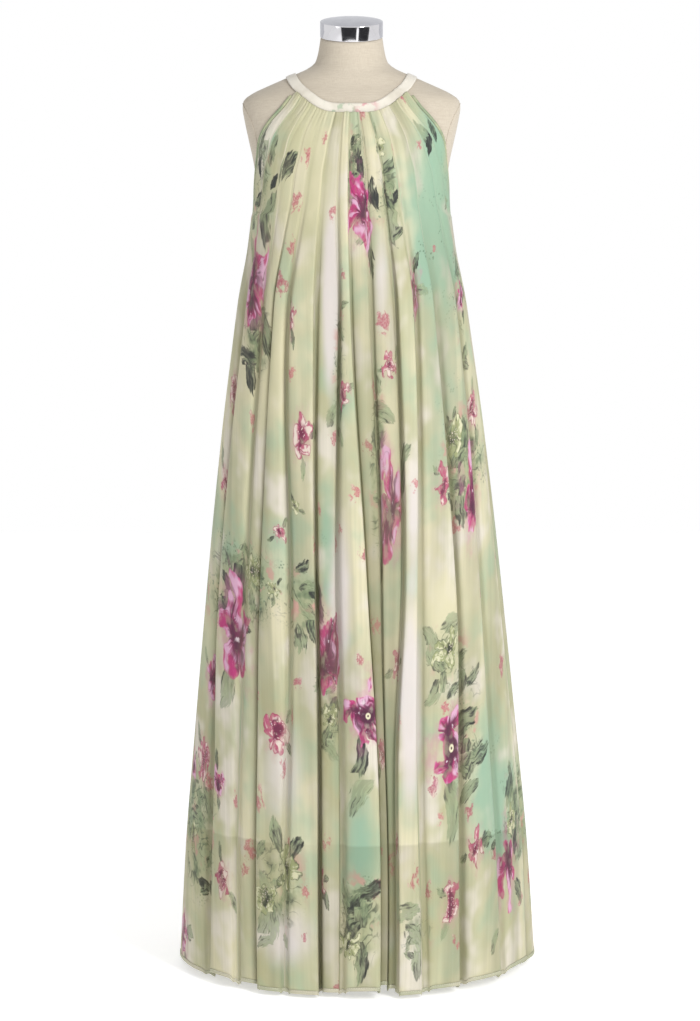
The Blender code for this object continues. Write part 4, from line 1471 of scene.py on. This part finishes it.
def linen_finish():
    """A plain weave: weft and warp as two stretched noises, with slubs and soft clouds."""
    g = Graph("form_linen")
    place = g.position()
    weft = g.noise(g.stretch(place, (60, 60, 1500)), 1.0, 2)
    warp = g.noise(g.stretch(place, (1500, 1500, 60)), 1.0, 2)
    weave = weft + warp
    slub = g.noise(g.stretch(place, (14, 14, 420)), 1.0, 2)
    cloud = g.noise(place, 7.0, 3)
    colour = g.mix(g.ramp(weave, 0.8, 1.2), shade(184, 173, 156), shade(196, 186, 169))
    colour = g.mix(g.ramp(slub, 0.62, 0.72) * 0.15, colour, shade(184, 172, 152))
    colour = g.mix(g.ramp(cloud, 0.4, 0.6) * 0.25, colour, shade(198, 188, 172))
    bump = g.bump(weave, 0.25, 0.2 * MM)
    words = {"Base_Color": colour, "Roughness": 0.9, "Sheen_Weight": 0.15, "Normal": bump}
    return g.finish(g.principled(**words))


def capped_faces(rows, columns):
    """A closed grid with one flat face over its top and one over its bottom."""
    last = list(range(rows * columns))
    return grid_faces(rows, columns, True).tolist() + [last[:columns], last[: -columns - 1 : -1]]


def tube(points, radius):
    """A round cord along a closed path: rings square to the path, side by side."""
    ahead = np.roll(points, -1, 0) - np.roll(points, 1, 0)
    ahead = ahead / np.linalg.norm(ahead, axis=1, keepdims=True)
    across = np.cross(ahead, (0, 0.3, 0.95))
    across = across / np.linalg.norm(across, axis=1, keepdims=True)
    upward = np.cross(across, ahead)
    phase = np.linspace(0, 2 * math.pi, PIPING_SIDES, endpoint=False)
    ring = np.cos(phase)[None, :, None] * across[:, None] * radius
    ring = ring + np.sin(phase)[None, :, None] * upward[:, None] * radius
    grid = points[:, None] + ring
    return np.vstack([grid, grid[:1]])


linen = linen_finish()
points = torso_points()
faces = capped_faces(*points.shape[:2])
words = {"slot": "form_linen", "replaces": ("form_torso",)}
torso = make_piece("form_linen", points, faces, material=linen, **words)
turn = np.linspace(0, 2 * math.pi, 96, endpoint=False)
for side, word in SIDES:
    angle = side * (math.pi / 2 + PLATE_HALF_ANGLE * np.cos(turn))
    height = PLATE_MIDDLE + PLATE_HALF_HEIGHT * np.sin(turn)
    loop = section_point(angle, height, FORM_SECTIONS)
    loop = loop + outward(angle, height, FORM_SECTIONS) * PIPING_OUT
    faces = grid_faces(len(loop) + 1, PIPING_SIDES, True).tolist()
    piping, words = tube(loop, PIPING_RADIUS), {"material": linen, "slot": "form_linen"}
    make_piece("arm_plate_seam_" + word, piping, faces, **words)
print("torso", len(torso.data.polygons), "faces")

# %% [markdown]
# ## The hard parts
#
# The cap, the pole and the base plate are profiles turned about an axis, with rounded
# edges. The cap leans forward with the top of the neck.


# %% The cap, the pole and the base
def turned(profile, sides=96):
    """A profile of radius and height from the top down, turned about the Z axis."""
    profile = np.array(profile, float)
    turn = np.linspace(0, 2 * math.pi, sides, endpoint=False)[None, :]
    radius, height = profile[:, :1], profile[:, 1:]
    return np.stack([radius * np.sin(turn), -radius * np.cos(turn), height + 0 * turn], -1)


def rounded(corner, radius, start, stop, steps=6):
    """An arc of a profile's corner, from one direction to another in degrees."""
    turn = np.radians(np.linspace(start, stop, steps))
    return [(corner[0] + radius * math.cos(t), corner[1] + radius * math.sin(t)) for t in turn]


def metal_finish(name, colour, rough):
    """Polished metal with faint handling marks in its gloss."""
    g = Graph(name)
    place = g.position()
    marks = g.noise(g.stretch(place, (40, 40, 40)), 1.0, 3)
    bump = g.bump(marks, 0.02, 0.5 * MM)
    tone = g.mix(g.ramp(marks, 0.4, 0.7), shade(*colour), shade(*(c - 8 for c in colour)))
    words = {"Metallic": 1.0, "Roughness": marks * 0.05 + rough, "Normal": bump}
    return g.finish(g.principled(Base_Color=tone, **words))


CAP_RADIUS, CAP_SIDE, CAP_DOME, CAP_EDGE = 52 * MM, 24 * MM, 6 * MM, 1.5 * MM
POLE_RADIUS, POLE_SIDES = 16 * MM, 64
BASE_RADIUS, BASE_THICKNESS, BASE_RIM = 160 * MM, 10 * MM, 4 * MM
tilt = math.radians(FORM_SECTIONS[-1][5])
across = np.linspace(0.02, 1, 24) * (CAP_RADIUS - CAP_EDGE)
dome = CAP_SIDE + CAP_EDGE + (CAP_DOME - CAP_EDGE) * (1 - (across / across[-1]) ** 2.4)
profile = list(zip(across, dome))
profile += rounded((CAP_RADIUS - CAP_EDGE, CAP_SIDE), CAP_EDGE, 80, 0)
profile += rounded((CAP_RADIUS - CAP_EDGE, CAP_EDGE), CAP_EDGE, 0, -90)
points = turned(profile)
axis = np.array([0, -math.sin(tilt), math.cos(tilt)])
level = np.array([0, math.cos(tilt), math.sin(tilt)])
foot = np.array([0, FORM_SECTIONS[-1][4] * MM, FORM_SECTIONS[-1][0] * MM]) + axis * SEAM_GAP
points = foot + points[..., :1] * (1, 0, 0) + points[..., 1:2] * level + points[..., 2:] * axis
chrome = metal_finish("cap_chrome", (214, 213, 216), 0.07)
words = {"material": chrome, "slot": "cap_chrome", "replaces": ("neck_cap",)}
make_piece("chrome_cap", points, capped_faces(*points.shape[:2]), **words)

steel = metal_finish("stand_steel", (190, 190, 194), 0.25)
pole_low, pole_high = BASE_THICKNESS + SEAM_GAP, FORM_SECTIONS[0][0] * MM - SEAM_GAP
profile = [(POLE_RADIUS, pole_high), (POLE_RADIUS, pole_low)]
points = turned(profile, POLE_SIDES)
faces = capped_faces(*points.shape[:2])
words = {"material": steel, "slot": "stand_steel"}
make_piece("pole", points, faces, replaces=("stand_pole",), **words)
profile = [(POLE_RADIUS * 2, BASE_THICKNESS), (BASE_RADIUS - BASE_RIM, BASE_RIM)]
profile += rounded((BASE_RADIUS - BASE_RIM / 2, BASE_RIM / 2), BASE_RIM / 2, 60, -90)
points = turned(profile)
faces = capped_faces(*points.shape[:2])
make_piece("base_plate", points, faces, replaces=("stand_base",), **words)
print("cap at", foot.round(3))

# %% [markdown]
# ## Thread
#
# The chiffon's hems are sewn by machine. A stitch is a short thread between two holes: a
# thin spindle, repeated along a line, all of a seam in one mesh.


# %% Stitches
STITCH_PITCH, STITCH_LENGTH, THREAD_RADIUS = 4 * MM, 2.4 * MM, 0.25 * MM
# along a stitch, in lengths from its middle, and how thick it is there, in radii
SPINDLE = ((-0.5, 0.4), (-0.2, 1), (0.2, 1), (0.5, 0.4))
FACES_TO_A_STITCH = 14


def stitches(name, path, away):
    """Spindles of four sides along a path. away is the cloth's outward direction."""
    run = arc_lengths(path[None], 1)[0]
    middle = np.arange(STITCH_PITCH, run[-1] - STITCH_PITCH, STITCH_PITCH)

    def along(values, place):
        return np.stack([np.interp(place, run, values[:, i]) for i in range(3)], -1)

    at = [along(path, middle + share * STITCH_LENGTH) for share, _ in SPINDLE]
    side = along(away, middle)
    ahead = at[3] - at[0]
    across = np.cross(ahead, side)
    across = across / np.linalg.norm(across, axis=1, keepdims=True)
    rings = []
    for point, (_, wide) in zip(at, SPINDLE):
        for x, y in ((1, 0), (0, 1), (-1, 0), (0, -1)):
            rings.append(point + (across * x + side * y) * THREAD_RADIUS * wide)
    points = np.stack(rings, 1)
    index = np.arange(16).reshape(4, 4)
    turned_index = np.roll(index, -1, 1)
    one = np.stack([index[:-1], turned_index[:-1], turned_index[1:], index[1:]], -1)
    one = one.reshape(-1, 4)
    one = np.vstack([one[:, ::-1], index[0][None], index[3][None, ::-1]])
    faces = (one[None] + 16 * np.arange(len(points))[:, None, None]).reshape(-1, 4)
    return make_piece(name, points, faces.tolist(), material=thread, slot="print_chiffon")


def thread_finish():
    """Pale twisted thread."""
    g = Graph("sewing_thread")
    twist = g.noise(g.position(), 1500.0, 1)
    colour = g.mix(twist, shade(228, 224, 206), shade(204, 206, 182))
    return g.finish(g.principled(Base_Color=colour, Roughness=0.6))


thread = thread_finish()
seam = [HEM_TURN * 0.8]
for name, folds, behind in (("front", FRONT_FOLDS, False), ("back", BACK_FOLDS, True)):
    line = dress_panel(folds, behind, seam, 2 * CLOTH_WALL + HEM_GAP)[0]
    inner = dress_panel(folds, behind, seam, CLOTH_WALL)[0]
    away = (line - inner) / np.linalg.norm(line - inner, axis=1, keepdims=True)
    sewn = stitches(name + "_hem_thread", line, away)
    print(sewn.name, len(sewn.data.polygons) // FACES_TO_A_STITCH, "stitches")

# %% [markdown]
# ## The floor
#
# The floor is a wide pale sheet, as a studio's paper sweep is. It glows a little, so that
# it melts into the white surroundings and keeps only a faint shadow at the hem.

# %% The floor
FLOOR = 9.0
corners = [(-FLOOR, -FLOOR, 0), (FLOOR, -FLOOR, 0), (FLOOR, FLOOR, 0), (-FLOOR, FLOOR, 0)]
floor_mesh = bpy.data.meshes.new("floor")
floor_mesh.from_pydata(corners, [], [(0, 1, 2, 3)])
floor = add_object("floor", floor_mesh)
g = Graph("floor")
dust = g.noise(g.position(), 3.0, 2)
pale = g.mix(dust, (0.93, 0.93, 0.93), (0.95, 0.95, 0.95))
glow = {"Emission_Color": WHITE, "Emission_Strength": 0.5}
floor_mesh.materials.append(g.finish(g.principled(Base_Color=pale, Roughness=0.8, **glow)))

# %% [markdown]
# ## Dark cards
#
# A chrome thing in a white room looks like nothing. Studios model it with cards that it
# mirrors: here two dark ones stand low in front, with a bright slit between them, and a
# grey one hangs behind. Only gloss sees them, so they throw no shade on the dress.

# %% The cards
CARD_AWAY, CARD_HIGH = 2.2, 1.15
CARDS = ((-40, 20), (28, 70))  # degrees from the front, towards +X
GREY_CARD = ((-5, 3, 9), (-5, 3, 1.5), (5, 3, 9), (5, 3, 1.5))


def hang_card(name, points, finish):
    """A card on a grid of two rows, which only mirrors show."""
    mesh = bpy.data.meshes.new(name)
    mesh.from_pydata(points.reshape(-1, 3).tolist(), [], grid_faces(*points.shape[:2]).tolist())
    mesh.materials.append(finish)
    card = add_object(name, mesh)
    for rays in ("camera", "diffuse", "transmission", "shadow", "volume_scatter"):
        setattr(card, "visible_" + rays, False)


def card_finish(name, low, high, glow):
    """Matt felt of an uneven colour, which may glow."""
    g = Graph(name)
    felt = g.mix(g.noise(g.position(), 5.0, 2), low, high)
    words = {"Emission_Color": (0.40, 0.41, 0.43, 1), "Emission_Strength": glow}
    return g.finish(g.principled(Base_Color=felt, Roughness=1.0, **words))


black = card_finish("black_felt", (0.02, 0.02, 0.024), (0.04, 0.04, 0.044), 0.0)
for start, stop in CARDS:
    turn = np.radians(np.linspace(start, stop, 17))
    foot = np.stack([CARD_AWAY * np.sin(turn), -CARD_AWAY * np.cos(turn), 0 * turn + MM], -1)
    hang_card("dark_card", np.stack([foot + (0, 0, CARD_HIGH), foot]), black)
grey = card_finish("grey_felt", (0.3, 0.3, 0.31), (0.34, 0.34, 0.35), 1.0)
hang_card("grey_card", np.array(GREY_CARD, float).reshape(2, 2, 3), grey)
